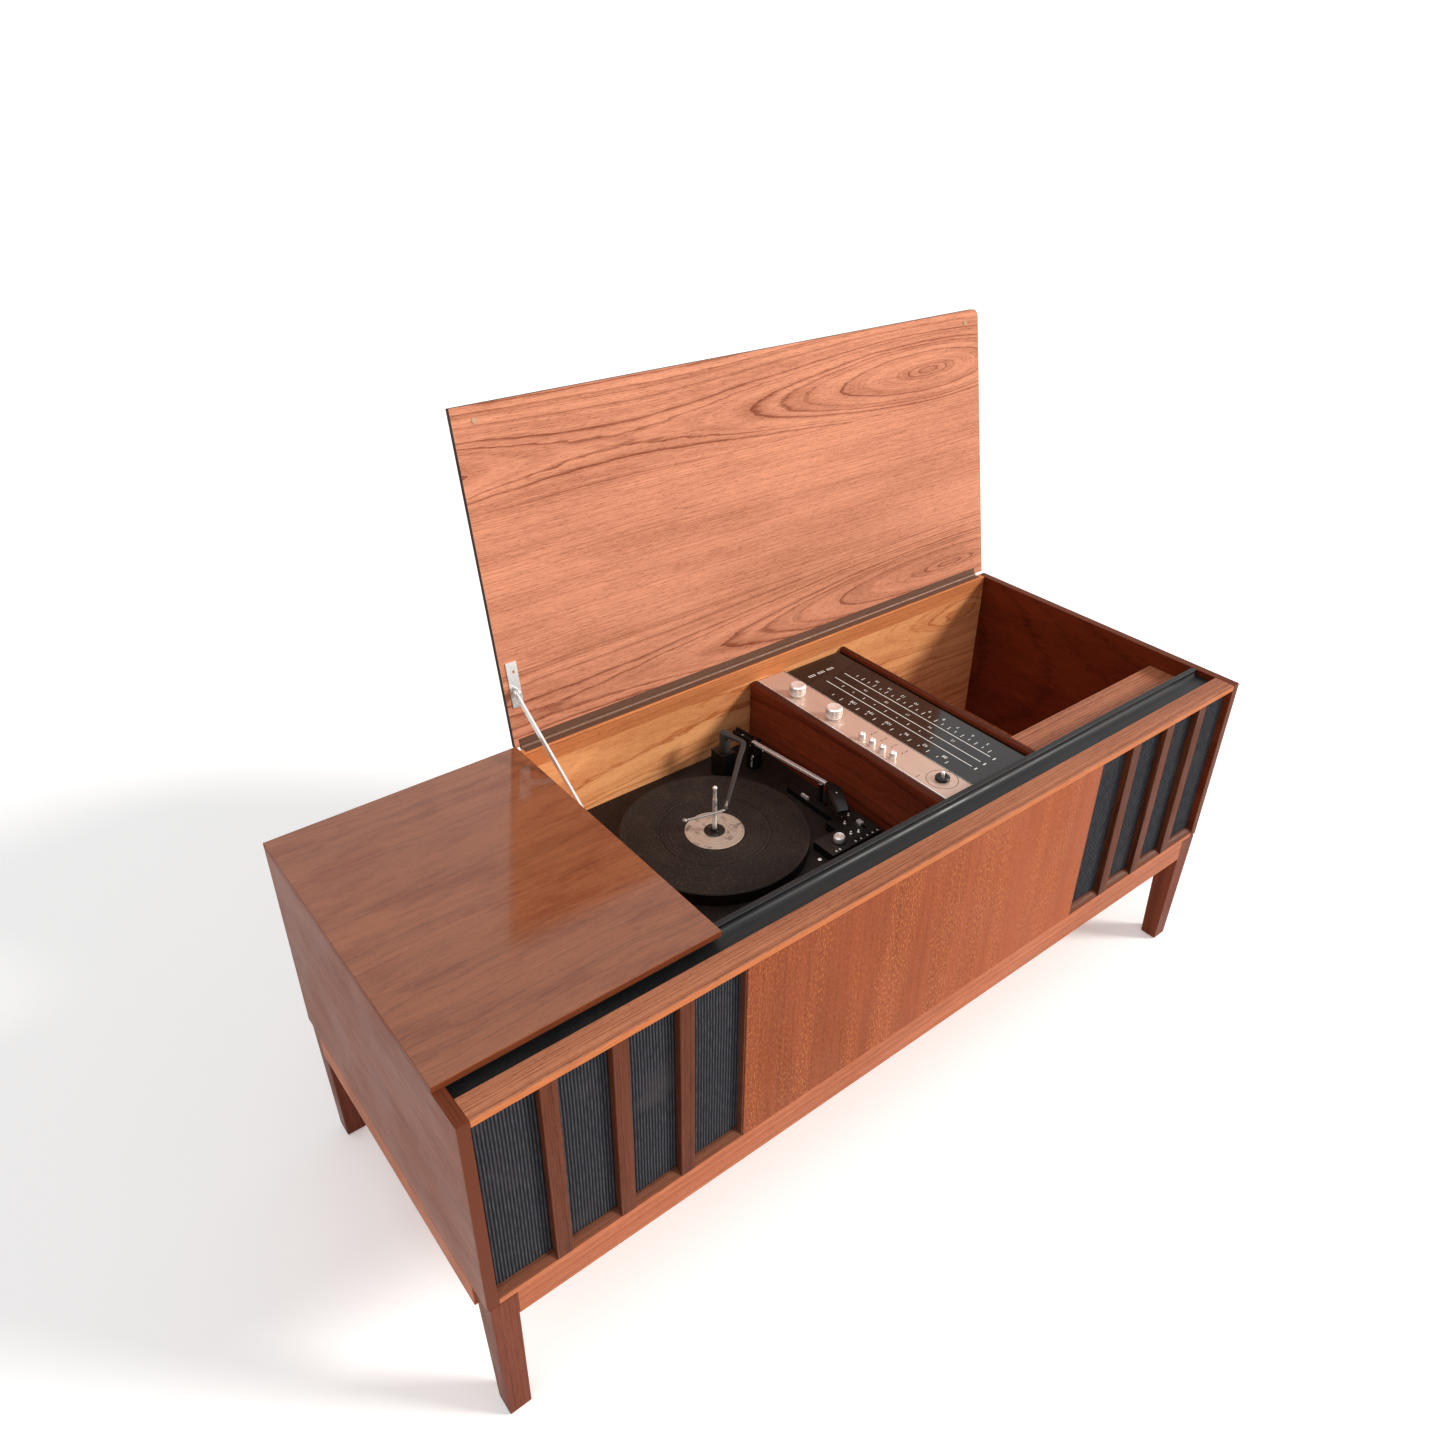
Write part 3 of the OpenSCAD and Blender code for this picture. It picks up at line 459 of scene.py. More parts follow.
# The panel aluminium's pink tint is a painted reflection of the warm lid.
metal("panel_aluminium", rgb(222, 190, 172), 0.34, along=Y, shade=0.5)
metal("knob_aluminium", rgb(246, 243, 240), 0.2, shade=0.55)
metal("chassis_steel", rgb(150, 144, 138), 0.42, shade=0.7)
metal("bright_steel", rgb(238, 236, 234), 0.2, shade=0.6)
metal("hinge_bronze", rgb(108, 74, 56), 0.45, wear=0.5, shade=0.35)
metal("brass", rgb(118, 100, 78), 0.4, wear=0.6)
glass_material()
cloth_material()
mat_material()
disc_material()
coated("scale_ink", rgb(235, 230, 224), 0.6, speckle=0.1, size=1.0)
coated("panel_ink", rgb(52, 42, 40), 0.6, speckle=0.1, size=1.0)
coated("red_dot", rgb(128, 52, 34), 0.5, speckle=0.1, size=1.0)
wood("cove_wood", X, Z, at(0, 0, 0), rgb(120, 72, 52), rgb(62, 32, 22), ring=3,
     contrast=0.4, roughness=0.4)

legs = [f"leg_{end}_{side}" for end in ("front", "rear") for side in ("left", "right")]
# CAD nodes whose look differs from their slot's own
own_look = {
    "back_rail": "back_rail", "bay_divider": "back_veneer", "stay_bracket": "bright_steel",
    "hinge_case_leaf": "hinge_bronze", "hinge_lid_leaf": "hinge_bronze",
    **dict.fromkeys(legs, "leg_wood"),
}
# Edge rounding of the CAD nodes that show, in mm
rounding = {
    "side_panel_left": 1.2, "side_panel_right": 1.2, "fixed_top": 0.8, "front_rail": 1.2,
    "grille_slats": 1.0, "centre_panel": 0.6, "bottom_board": 1.0, "apron_front": 1.6,
    "apron_sides": 1.6, "lid": 1.2, "radio_cheeks": 3.0, "record_shelf": 2.0,
    "inner_front_board": 0.8, "finger_channel": 0.8, "back_rail": 0.8, "deck_plate": 1.0,
    "control_block": 1.2, "overarm_tower": 1.5, "stay_arm": 0.4, "stay_bracket": 0.4,
    "control_panel": 0.3, "dial_glass": 0.6, "rear_cover": 0.4, "bay_divider": 0.6,
    "cable_gland": 0.6, "lid_bumpers": 0.5, "start_lever": 0.6,
    **dict.fromkeys(legs, 3.0),
}


def place(name, data):
    """A new object in the scene."""
    obj = bpy.data.objects.new(name, data)
    bpy.context.scene.collection.objects.link(obj)
    return obj


def round_edges(obj, width, segments):
    """Rounds an object's sharp edges by a width in mm."""
    bevel = obj.modifiers.new("bevel", "BEVEL")
    bevel.width = width * MM
    bevel.segments = segments
    bevel.limit_method = "ANGLE"
    bevel.angle_limit = math.radians(40)
    bevel.harden_normals = True


def dress_cad_nodes():
    """Materials on every CAD node, and rounded edges on the ones that show."""
    slot_of = {p["node"]: p["material_slot"] for p in frame["record"]["subparts"]}
    for name, obj in nodes.items():
        obj.data.materials.clear()
        obj.data.materials.append(finish[own_look.get(name, slot_of[name])])
        if name in rounding:
            weld = obj.modifiers.new("weld", "WELD")
            weld.merge_threshold = 0.01 * MM
            round_edges(obj, rounding[name], 3)


dress_cad_nodes()


# Pieces


class Piece:
    """One object made of turned, extruded and swept shapes, given in mm from the case's corner.

    Its faces show the looks, which default to the record's slot; the slot itself is only stored.
    look is the number of the look for what is added next, and pose a matrix that places it, so
    an arm can be drawn straight."""

    def __init__(self, name, body, slot, *looks):
        self.name = name
        self.body = body
        self.slot = slot
        self.looks = looks or (slot,)
        self.bm = bmesh.new()
        self.look = 0
        self.pose = Matrix.Identity(4)

    def add(self, points, faces):
        verts = [self.bm.verts.new(at(*(self.pose @ Vector(p)))) for p in points]
        for face in faces:
            self.bm.faces.new([verts[i] for i in face]).material_index = self.look

    def rings(self, loops, closed=False):
        """Joins loops of equally many points into a tube with ends, or a closed ring."""
        n = len(loops[0])
        points = [p for loop in loops for p in loop]
        faces = []
        for k in range(len(loops) if closed else len(loops) - 1):
            a, b = k * n, (k + 1) % len(loops) * n
            faces += [(a + i, a + (i + 1) % n, b + (i + 1) % n, b + i) for i in range(n)]
        if not closed:
            last = (len(loops) - 1) * n
            faces += [tuple(range(n))[::-1], tuple(range(last, last + n))]
        self.add(points, faces)

    def lathe(self, x, y, profile, segments, flutes=0, flute_depth=0.0):
        """Turns a profile of (radius, height) about the upright line through x, y."""
        loops = []
        for radius, z in profile:
            loop = []
            for i in range(segments):
                a = 2 * math.pi * i / segments
                r = radius - flute_depth * (0.5 - 0.5 * math.cos(flutes * a)) if flutes else radius
                loop.append((x + r * math.cos(a), y + r * math.sin(a), z))
            loops.append(loop)
        self.rings(loops)

    def ring(self, x, y, profile, segments):
        """Turns a closed profile of (radius, height) that doesn't reach the axis."""
        loops = []
        for i in range(segments):
            a = 2 * math.pi * i / segments
            loops.append([(x + r * math.cos(a), y + r * math.sin(a), z) for r, z in profile])
        self.rings(loops, closed=True)

    def block(self, lo, hi):
        """A box from its lowest corner to its highest."""
        corners = [(lo[0], lo[1]), (hi[0], lo[1]), (hi[0], hi[1]), (lo[0], hi[1])]
        self.rings([[(x, y, z) for x, y in corners] for z in (lo[2], hi[2])])

    def sweep(self, path, section):
        """Carries section(t), a list of (side, up) points, along a path kept upright."""
        path = [Vector(p) for p in path]
        loops = []
        for i, p in enumerate(path):
            ahead = path[min(i + 1, len(path) - 1)] - path[max(i - 1, 0)]
            ahead.normalize()
            side = ahead.cross(Vector((0, 0, 1)))
            if side.length < 1e-4:  # the path runs straight up
                side = Vector((1, 0, 0))
            side.normalize()
            up = side.cross(ahead)
            t = i / (len(path) - 1)
            loops.append([tuple(p + side * a + up * b) for a, b in section(t)])
        self.rings(loops)

    def done(self, bevel=0.0, replaces=(), sharp=35):
        """Makes the object, which rides on its body."""
        bmesh.ops.recalc_face_normals(self.bm, faces=self.bm.faces[:])
        mesh = bpy.data.meshes.new(self.name)
        self.bm.to_mesh(mesh)
        self.bm.free()
        mesh.shade_smooth()
        mesh.set_sharp_from_angle(angle=math.radians(sharp))
        for look in self.looks:
            mesh.materials.append(finish[look])
        obj = place(self.name, mesh)
        if bevel:
            round_edges(obj, bevel, 2)
        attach(obj, self.body)
        if replaces:
            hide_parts(*replaces)
        return obj


def circle(radius, count, flat=1.0):
    """A round or flattened section for a sweep."""
    step = 2 * math.pi / count
    return [(radius * math.cos(i * step), radius * flat * math.sin(i * step)) for i in range(count)]


def oblong(width, height, cut):
    """A section with its corners cut by a share of its smaller half."""
    a, b = width / 2, height / 2
    c = min(a, b) * cut
    return [(a, -b + c), (a, b - c), (a - c, b), (c - a, b), (-a, b - c), (-a, c - b),
            (c - a, -b), (a - c, -b)]


def bend(points, steps):
    """A smooth path through a few points (Catmull-Rom)."""
    p = [Vector(q) for q in points]
    p = [2 * p[0] - p[1]] + p + [2 * p[-1] - p[-2]]
    path = []
    for i in range(1, len(p) - 2):
        for k in range(steps):
            t = k / steps
            path.append(0.5 * ((2 * p[i]) + (p[i + 1] - p[i - 1]) * t
                               + (2 * p[i - 1] - 5 * p[i] + 4 * p[i + 1] - p[i + 2]) * t * t
                               + (3 * p[i] - p[i - 1] - 3 * p[i + 1] + p[i + 2]) * t ** 3))
    path.append(p[-2])
    return path


# Grilles


def closed_grid(rows, columns):
    """Faces of a grid of points, an equal grid behind it, and the walls between their edges."""
    n = columns + 1
    total = n * (rows + 1)
    faces = []
    for j in range(rows):
        for i in range(columns):
            a = j * n + i
            faces.append((a, a + 1, a + n + 1, a + n))
            faces.append((total + a, total + a + n, total + a + n + 1, total + a + 1))
    for j in range(rows):
        for a, b in ((j * n, (j + 1) * n), (j * n + columns, (j + 1) * n + columns)):
            faces.append((a, b, total + b, total + a))
    for i in range(columns):
        for a in (i, rows * n + i):
            faces.append((a, a + 1, total + a + 1, total + a))
    return faces


def grille_cloth(side, x0, x1, y_front, z0, z1):
    """Ribbed cloth stretched over one loudspeaker board."""
    rib_pitch = 4.2
    rib_height = 0.7
    thickness = 1.2
    piece = Piece(f"grille_cloth_{side}", "case", "grille_cloth")
    columns = int((x1 - x0) / rib_pitch) * 6
    rows = 20
    rng = random.Random(4 if side == "left" else 5)
    sway = [rng.uniform(0, 2 * math.pi) for _ in range(2)]
    front = []
    back = []
    for j in range(rows + 1):
        z = z0 + (z1 - z0) * j / rows
        drift = 0.6 * math.sin(z / 60 + sway[0]) + 0.25 * math.sin(z / 23 + sway[1])
        pull = math.sin(math.pi * j / rows)
        for i in range(columns + 1):
            x = x0 + (x1 - x0) * i / columns
            rib = 0.5 + 0.5 * math.cos(2 * math.pi * (x + drift * pull) / rib_pitch)
            front.append((x, y_front + rib_height * (1 - rib), z))
            back.append((x, y_front + thickness, z))
    piece.add(front + back, closed_grid(rows, columns))
    obj = piece.done(replaces=["grille_cloths"], sharp=80)


def cove_lips(openings, z0):
    """A quarter-round slip along the bottom of each cloth strip."""
    piece = Piece("cove_lips", "case", "slat_wood", "cove_wood")
    profile = [(1.2, 0.0), (10.9, 0.0), (10.9, 9.5), (9.8, 9.3), (7.0, 7.6), (4.4, 5.0), (2.2, 2.2)]
    for x0, x1 in openings:
        piece.rings([[(x, y, z0 + z) for y, z in profile] for x in (x0 + 0.1, x1 - 0.1)])
    piece.done(sharp=50)


def grille_openings():
    """The strips of cloth between the slats, as (x0, x1), for both ends."""
    slat_width = 21
    slat_pitch = 88
    first_slat = span("grille_slats")[0].x
    edges = [span("side_panel_left")[1].x]
    for i in range(3):
        x = first_slat + i * slat_pitch
        edges += [x, x + slat_width]
    edges.append(panel_lo.x)
    left = [(edges[i], edges[i + 1]) for i in range(0, len(edges), 2)]
    return left + [(case_length - b, case_length - a) for a, b in left]


cloth_lo, cloth_hi = span("grille_cloths")
panel_lo, panel_hi = span("centre_panel")
grille_cloth("left", cloth_lo.x, panel_lo.x, cloth_lo.y, cloth_lo.z, cloth_hi.z)
grille_cloth("right", panel_hi.x, cloth_hi.x, cloth_lo.y, cloth_lo.z, cloth_hi.z)
cove_lips(grille_openings(), cloth_lo.z)


# Screws


def screw(piece, x, y, z, radius, height):
    """A domed screw head on top of the plane z."""
    piece.lathe(x, y, [(radius, z), (radius, z + 0.25 * height), (0.7 * radius, z + 0.8 * height),
                       (0.25 * radius, z + height)], 20)


# Record changer

platter_hi = span("platter")[1]
# The mat's ribs lie 1.5 mm below its raised middle
mat_top = span("platter_mat")[1].z - 1.5
deck_top = span("deck_plate")[1].z
# The flat of the control block, and the speed knob's axis on it
flat_z = deck_top + 1
speed_x, speed_y = 716, 211
# The tonearm's pivot, and the height of its bar, which lies above the middle of arm and weight
pivot_x, pivot_y = middle("tonearm_gimbal")
arm_z = (span("tonearm")[0].z + span("tonearm")[1].z) / 2 + 1


def ribs(outer, inner):
    """Profile of the mat's fine ribs, 4 mm apart, from an outer radius in to an inner one."""
    points = []
    r = outer
    while r > inner:
        points += [(r, mat_top), (r - 0.5, mat_top - 0.35), (r - 1.1, mat_top - 0.35),
                   (r - 1.6, mat_top)]
        r -= 4.0
    return points


def platter_mat():
    """Mat with fine ribs, a wider groove for small records, and a raised middle."""
    piece = Piece("mat_ribbed", "platter", "rubber", "platter_mat", "mat_disc", "black_plastic")
    edge = platter_hi.x - hub_x
    under = platter_hi.z
    z = mat_top
    profile = [(45.0, under), (edge - 0.3, under), (edge - 0.3, z - 0.9), (edge - 1.6, z)]
    profile += ribs(edge - 6, 88)
    profile += [(85.4, z), (84.6, z - 1.0), (82.2, z - 1.0), (81.4, z)]
    profile += ribs(78.0, 50)
    profile += [(45.0, z)]
    piece.ring(hub_x, hub_y, profile, 128)
    piece.look = 1
    piece.ring(hub_x, hub_y, [
        (16.0, under), (44.8, under), (44.8, z), (44.2, z + 0.4), (43.2, z + 0.4), (42.8, z + 0.1),
        (30.4, z + 0.1), (30.0, z + 0.35), (17.2, z + 0.35), (16.0, z + 0.1)], 96)
    piece.look = 2
    piece.ring(hub_x, hub_y, [
        (4.2, under), (15.8, under), (15.8, z + 0.8), (14.8, z + 1.4), (10.5, z + 1.4),
        (9.9, z + 0.9), (6.4, z + 0.9), (6.0, z + 1.4), (4.2, z + 1.2)], 64)
    for k in range(6):
        a = math.radians(60 * k + 15)
        x, y = hub_x + 12.6 * math.cos(a), hub_y + 12.6 * math.sin(a)
        piece.lathe(x, y, [(1.7, z + 1.2), (1.7, z + 1.45), (0.8, z + 1.5)], 12)
    piece.done(replaces=["platter_mat"], sharp=30)


def platter_rim():
    """Worn bead round the platter's top edge."""
    piece = Piece("platter_bead", "platter", "deck_paint", "grey_plastic")
    r = platter_hi.x - hub_x
    z = platter_hi.z
    profile = [(r - 0.25, z + 1.4), (r - 0.02, z + 1.2), (r - 0.02, z + 0.2), (r - 0.3, z)]
    piece.ring(hub_x, hub_y, profile, 128)
    piece.done()


def changer_spindle():
    """Tall spindle: steady pin, offset step and ball tip, with its pusher blade beside it."""
    piece = Piece("spindle_tall", "case", "bright_steel", "bright_steel", "black_plastic")
    z = mat_top
    foot = span("spindle")[0].z
    tip = span("spindle")[1].z
    piece.lathe(hub_x, hub_y, [
        (7.9, foot), (7.9, z - 5), (3.2, z - 4.6), (3.2, z + 1.6), (3.5, z + 2.0), (3.55, z + 3),
        (3.55, tip - 24), (3.3, tip - 22.6), (2.9, tip - 21.6), (2.7, tip - 10), (2.5, tip - 8),
        (3.1, tip - 6.4), (3.6, tip - 4.2), (3.6, tip - 3.2), (3.1, tip - 1.5), (1.9, tip - 0.4),
        (0.6, tip - 0.02)], 32)
    piece.block((hub_x - 0.8, hub_y + 2.3, tip - 30), (hub_x + 0.8, hub_y + 3.5, tip - 8))
    piece.look = 1
    piece.ring(hub_x, hub_y, [(3.7, z + 1.7), (6.4, z + 1.7), (5.6, z + 4.6), (3.7, z + 5.4)], 32)
    piece.done(replaces=["spindle"])


def balance_arm():
    """Balance arm: hub and bowed grey arm, with a steel rod that holds a stack steady."""
    tx, ty = 698.0, 464.0
    low, high = span("overarm")[0].z, span("overarm")[1].z
    piece = Piece("balance_arm", "overarm", "grey_plastic", "grey_plastic", "chassis_steel")
    piece.ring(tx, ty, [(4.1, low + 0.1), (8.9, low + 0.1), (8.9, high - 4), (7.6, high - 1.4),
                        (4.1, high - 1.0)], 40)
    piece.lathe(tx, ty, [(4.4, high - 1.6), (4.4, high - 0.5), (2.2, high - 0.05)], 24)
    z_arm = high - 3
    spine = bend([(tx, ty - 4, z_arm - 1.5), (702, 436, z_arm), (700, 420, z_arm + 0.4),
                  (668, 391, z_arm + 0.2), (622, 349, z_arm - 0.2), (582, 313, z_arm - 0.4)], 7)
    piece.sweep(spine, lambda t: oblong(11.5 - 6.0 * t, 5.0 - 1.2 * t, 0.55))
    piece.look = 1
    rod = bend([(586, 317, z_arm), (573, 306, z_arm), (566, 304.4, z_arm), (540, 310, z_arm),
                (524, 314.6, z_arm), (510, 318.6, z_arm)], 7)
    piece.sweep(rod, lambda t: circle(2.2 - 0.2 * t, 14, 0.8))
    piece.lathe(510, 318.8, [(2.9, z_arm - 2.2), (3.4, z_arm - 1), (3.4, z_arm + 1), (2.2, z_arm + 2.3)],
                20)
    piece.look = 0
    piece.lathe(573, 305.6, [(4.0, z_arm - 2.6), (4.0, z_arm + 1.8), (2.8, z_arm + 2.9)], 20)
    piece.done(bevel=0.25, replaces=["overarm"])


def arm_pose():
    """Places the tonearm, drawn with its pivot at the origin and its bar along -Y."""
    turn = Matrix.Rotation(math.radians(5.9), 4, "Z")
    return Matrix.Translation(Vector((pivot_x, pivot_y, 0))) @ turn


def tonearm():
    """Square alloy bar, its dark tail with a weight at the side, and the pivot's pins."""
    front, tail = 158.0, 48.0
    piece = Piece("tonearm_bar", "tonearm", "bright_steel", "bright_steel", "black_plastic",
                  "knob_aluminium")
    piece.pose = arm_pose()
    z = arm_z
    piece.rings([[(x, -front + 2, z + h) for x, h in oblong(6.2, 5.4, 0.35)],
                 [(x, -front + 30, z + h) for x, h in oblong(6.8, 5.8, 0.35)],
                 [(x, 4, z + h) for x, h in oblong(6.9, 5.9, 0.35)]])
    piece.look = 1
    piece.block((-3.45, 4.2, z - 2.9), (3.45, tail - 0.3, z + 2.9))
    piece.block((3.6, 10.2, z - 7.8), (7.9, tail - 0.2, z + 5.8))
    for y in (16, 30):
        piece.block((3.5, y, z - 8), (8.0, y + 1.6, z + 6))
    piece.rings([[(x, y, z + dz) for y, dz in circle(2.6, 16)] for x in (-7.6, -3.4)])
    piece.rings([[(x, y, z + dz) for y, dz in circle(2.6, 16)] for x in (3.4, 7.6)])
    piece.look = 0
    piece.rings([[(x, y, z + dz) for y, dz in circle(1.45, 14)] for x in (-10.9, 10.9)])
    piece.look = 2
    screw(piece, 0, 28, z + 2.6, 2.4, 0.4)
    piece.done(bevel=0.25, replaces=["tonearm"])


def head_shell():
    """Two-part head shell turned in towards the record, with its lift tab and cartridge."""
    piece = Piece("head_shell_body", "tonearm", "grey_plastic", "black_plastic", "grey_plastic",
                  "bright_steel")
    turn = math.radians(32.4)
    z = arm_z
    piece.pose = arm_pose()
    piece.sweep(bend([(0, -157, z - 0.5), (0, -164, z - 0.5), (0, -169, z - 0.8)], 3),
                lambda t: oblong(8.5 + 7 * t, 7.6, 0.4))
    piece.pose @= Matrix.Translation(Vector((0, -168, 0))) @ Matrix.Rotation(-turn, 4, "Z")
    rows = [(0, 17, z - 4.6, z + 3.2), (8, 26, z - 5, z + 4.9), (34, 24.5, z - 5, z + 4.6),
            (56, 21.5, z - 5, z + 2.4), (61.5, 19.5, z - 5, z - 0.5)]
    loops = []
    for y, width, lo, hi in rows:
        a = width / 2
        shoulder = lo + 0.55 * (hi - lo)
        loops.append([(a, -y, lo), (a, -y, shoulder), (a - 3.2, -y, hi), (3.2 - a, -y, hi),
                      (-a, -y, shoulder), (-a, -y, lo)])
    piece.rings(loops)
    piece.block((10, -52, z - 4.8), (13.2, -38, z - 3.2))
    piece.look = 1
    piece.block((-8, -56, z - 14.6), (8, -30, z - 5.1))
    piece.look = 2
    screw(piece, 0, -22, z + 4.4, 1.9, 0.5)
    piece.block((-0.5, -54.6, z - 19), (0.5, -53.6, z - 14.4))
    piece.done(bevel=0.35, replaces=["head_shell"])


def control_details():
    """Small levers, marks, posts and the arm's clip round the control block."""
    piece = Piece("control_trim", "case", "black_plastic", "knob_aluminium", "black_plastic",
                  "scale_ink")
    z = flat_z
    for x, y in ((769, 247), (751, 236), (741, 212), (753, 208)):
        piece.lathe(x, y, [(2.4, z), (2.4, z + 1.2), (1.5, z + 1.8), (1.5, z + 4.4), (0.7, z + 5)], 16)
    for x in (694, 701, 733, 744, 757, 768, 778):
        piece.block((x, 193, z), (x + 2.6, 196.6, z + 0.5))
    piece.ring(769, 310, [(2.6, 206.4), (4.2, 206.4), (4.2, 208.2), (2.6, 208.2)], 20)
    piece.block((748.8, 318, 178), (752.6, 333, 183))
    piece.look = 1
    piece.block((735, 196, z), (783, 199, z + 0.9))
    piece.ring(speed_x, speed_y, [(10.2, z), (12.4, z), (12.0, z + 1.3), (10.2, z + 1.3)], 40)
    piece.look = 2
    piece.lathe(779, 464, [(2.2, deck_top), (2.2, deck_top + 0.3), (1.6, deck_top + 0.5)], 16)
    piece.look = 0
    hook = bend([(736, 440, deck_top), (736, 440, deck_top + 16), (735, 437, deck_top + 23),
                 (732, 432, deck_top + 25)], 5)
    piece.sweep(hook, lambda t: circle(1.5 - 0.4 * t, 10))
    for x, y in ((436, 197), (436, 494), (779, 494), (664, 197)):
        screw(piece, x, y, deck_top, 3.2, 1.0)
    piece.done(bevel=0.2)


def speed_knob():
    """Turned knob with a raised pointer, just clear of the control block."""
    piece = Piece("speed_knob_turned", "speed_knob", "knob_aluminium")
    x, y, z = speed_x, speed_y, flat_z + 0.3
    piece.lathe(x, y, [(2.9, z - 9), (2.9, z), (8.7, z), (8.9, z + 0.6), (8.9, z + 6.6),
                       (8.0, z + 8.2), (7.4, z + 8.6), (6.6, z + 8.1), (5.0, z + 8.1),
                       (4.6, z + 8.6), (3.0, z + 8.6), (2.6, z + 8.2), (0.4, z + 8.2)], 48)
    piece.block((x - 0.6, y + 2.4, z + 8.1), (x + 0.6, y + 7.4, z + 8.6))
    piece.done(replaces=["speed_knob"], sharp=28)


platter_mat()
platter_rim()
changer_spindle()
balance_arm()
tonearm()
head_shell()
control_details()
speed_knob()


# Radio

panel_z = span("control_panel")[1].z
glass_lo, glass_hi = span("dial_glass")
ink_height = 0.12


def turned_knob(node):
    """Solid aluminium knob: fine vertical flutes, a bevelled edge and a faced-off top."""
    lo, hi = span(node)
    x, y = middle(node)
    r = (hi.x - lo.x) / 2
    z = panel_z + 0.5
    piece = Piece(f"{node}_turned", node, "knob_aluminium", "knob_aluminium", "black_plastic")
    piece.lathe(x, y, [(r - 1.6, z), (r - 1.2, z + 0.5), (r - 0.7, z + 2.6), (r, z + 3.2)], 96)
    piece.lathe(x, y, [(r - 0.02, z + 3.2), (r - 0.02, hi.z - 2.4)], 180, flutes=60,
                flute_depth=0.5)
    piece.lathe(x, y, [(r - 0.3, hi.z - 2.4), (r, hi.z - 2.1), (r - 1.9, hi.z - 0.2),
                       (r - 2.4, hi.z - 0.02), (r - 3.6, hi.z - 0.25), (1.4, hi.z - 0.35),
                       (0.4, hi.z - 0.5)], 96)
    piece.look = 1
    piece.lathe(x, y, [(2.95, lo.z), (2.95, z + 0.2)], 24)
    piece.done(replaces=[node], sharp=25)


def push_button(index):
    """Push button with a bright stepped cap, and its stem."""
    node = f"button_{index}"
    lo, hi = span(node)
    x, y = middle(node)
    r = (hi.x - lo.x) / 2
    piece = Piece(f"{node}_cap", node, "button_plastic", "knob_aluminium", "black_plastic")
    piece.lathe(x, y, [(r - 0.4, panel_z - 6), (r - 0.02, panel_z - 5), (r - 0.02, hi.z - 3.4),
                       (r - 0.5, hi.z - 1.6), (r - 1.6, hi.z - 0.5), (r - 3.0, hi.z - 0.05),
                       (r - 4.4, hi.z - 0.4), (0.3, hi.z - 0.9)], 40)
    piece.look = 1
    piece.lathe(x, y, [(2.4, lo.z), (2.4, panel_z - 5.8)], 20)
    piece.done(replaces=[node], sharp=28)


def tuning_shaft():
    """Bare tuning shaft in its boss, with the screw's slot and the cord drum under the panel."""
    lo, hi = span("tuning_spindle")
    x, y = middle("tuning_spindle")
    piece = Piece("tuning_shaft", "tuning_spindle", "black_plastic", "black_plastic",
                  "knob_aluminium")
    z = panel_z + 0.35
    piece.lathe(x, y, [(10.2, z), (10.9, z + 0.5), (10.9, z + 4.2), (10.0, z + 5.2), (5.4, z + 5.4),
                       (5.0, z + 3.6), (3.1, z + 3.6)], 56)
    piece.lathe(x, y, [(13.9, 262.1), (13.9, 263), (12.4, 264.4), (13.9, 266), (13.9, 266.9)], 56)
    piece.look = 1
    piece.lathe(x, y, [(2.95, lo.z), (2.95, hi.z - 1.2), (2.2, hi.z - 0.3), (0.5, hi.z - 0.3)], 28)
    piece.block((x - 2.6, y - 0.5, hi.z - 0.4), (x + 2.6, y + 0.5, hi.z - 0.02))
    piece.done(replaces=["tuning_spindle"], sharp=30)


def panel_trim():
    """Bright strip along the panel's edge, the beaded line at the glass, dots and plain marks."""
    piece = Piece("panel_trim", "case", "panel_aluminium", "knob_aluminium", "panel_ink",
                  "red_dot", "black_plastic")
    lo, hi = span("control_panel")
    z = panel_z
    piece.block((lo.x + 0.2, lo.y + 1, z), (lo.x + 2.4, hi.y - 1, z + 0.9))
    # Thin black strips: painted shade in the gap beside the bright strip and between the beads at the
    # glass.
    piece.look = 3
    piece.block((lo.x + 2.5, lo.y + 1, z), (lo.x + 3.6, hi.y - 1, z + 0.25))
    piece.block((hi.x - 1.6, lo.y + 1, z), (hi.x - 0.1, hi.y - 1, z + 0.3))
    piece.look = 0
    y = lo.y + 3
    while y < hi.y - 3:
        piece.block((hi.x - 1.3, y, z + 0.2), (hi.x - 0.4, y + 1.4, z + 0.6))
        y += 3.2
    piece.look = 1
    for node in ("volume_knob", "tone_knob"):
        mid_y = middle(node)[1]
        for k, length in enumerate((2.4, 1.6, 2.0, 1.4, 2.2)):
            y = mid_y + 5 - 2.4 * k
            piece.block((lo.x + 8, y - 0.35, z), (lo.x + 8 + length, y + 0.35, z + ink_height))
    piece.look = 2
    for i in range(4):
        mid_y = middle(f"button_{i + 1}")[1]
        piece.lathe(hi.x - 22, mid_y, [(1.5, z), (1.5, z + 0.15), (1.0, z + 0.3)], 16)
        piece.look = 1
        for k in range(3):
            piece.block((hi.x - 17 + 2.6 * k, mid_y - 0.9, z),
                        (hi.x - 15.6 + 2.6 * k, mid_y + 0.9, z + ink_height))
        piece.look = 2
    x, y = middle("tuning_spindle")
    piece.look = 1
    piece.ring(x, y, [(23.2, z), (24.0, z), (24.0, z + ink_height), (23.2, z + ink_height)], 72)
    for k in range(4):
        x = lo.x + 7 + 2.2 * k
        piece.block((x, y + 27, z), (x + 1.4, y + 28.6, z + ink_height))
    piece.done()


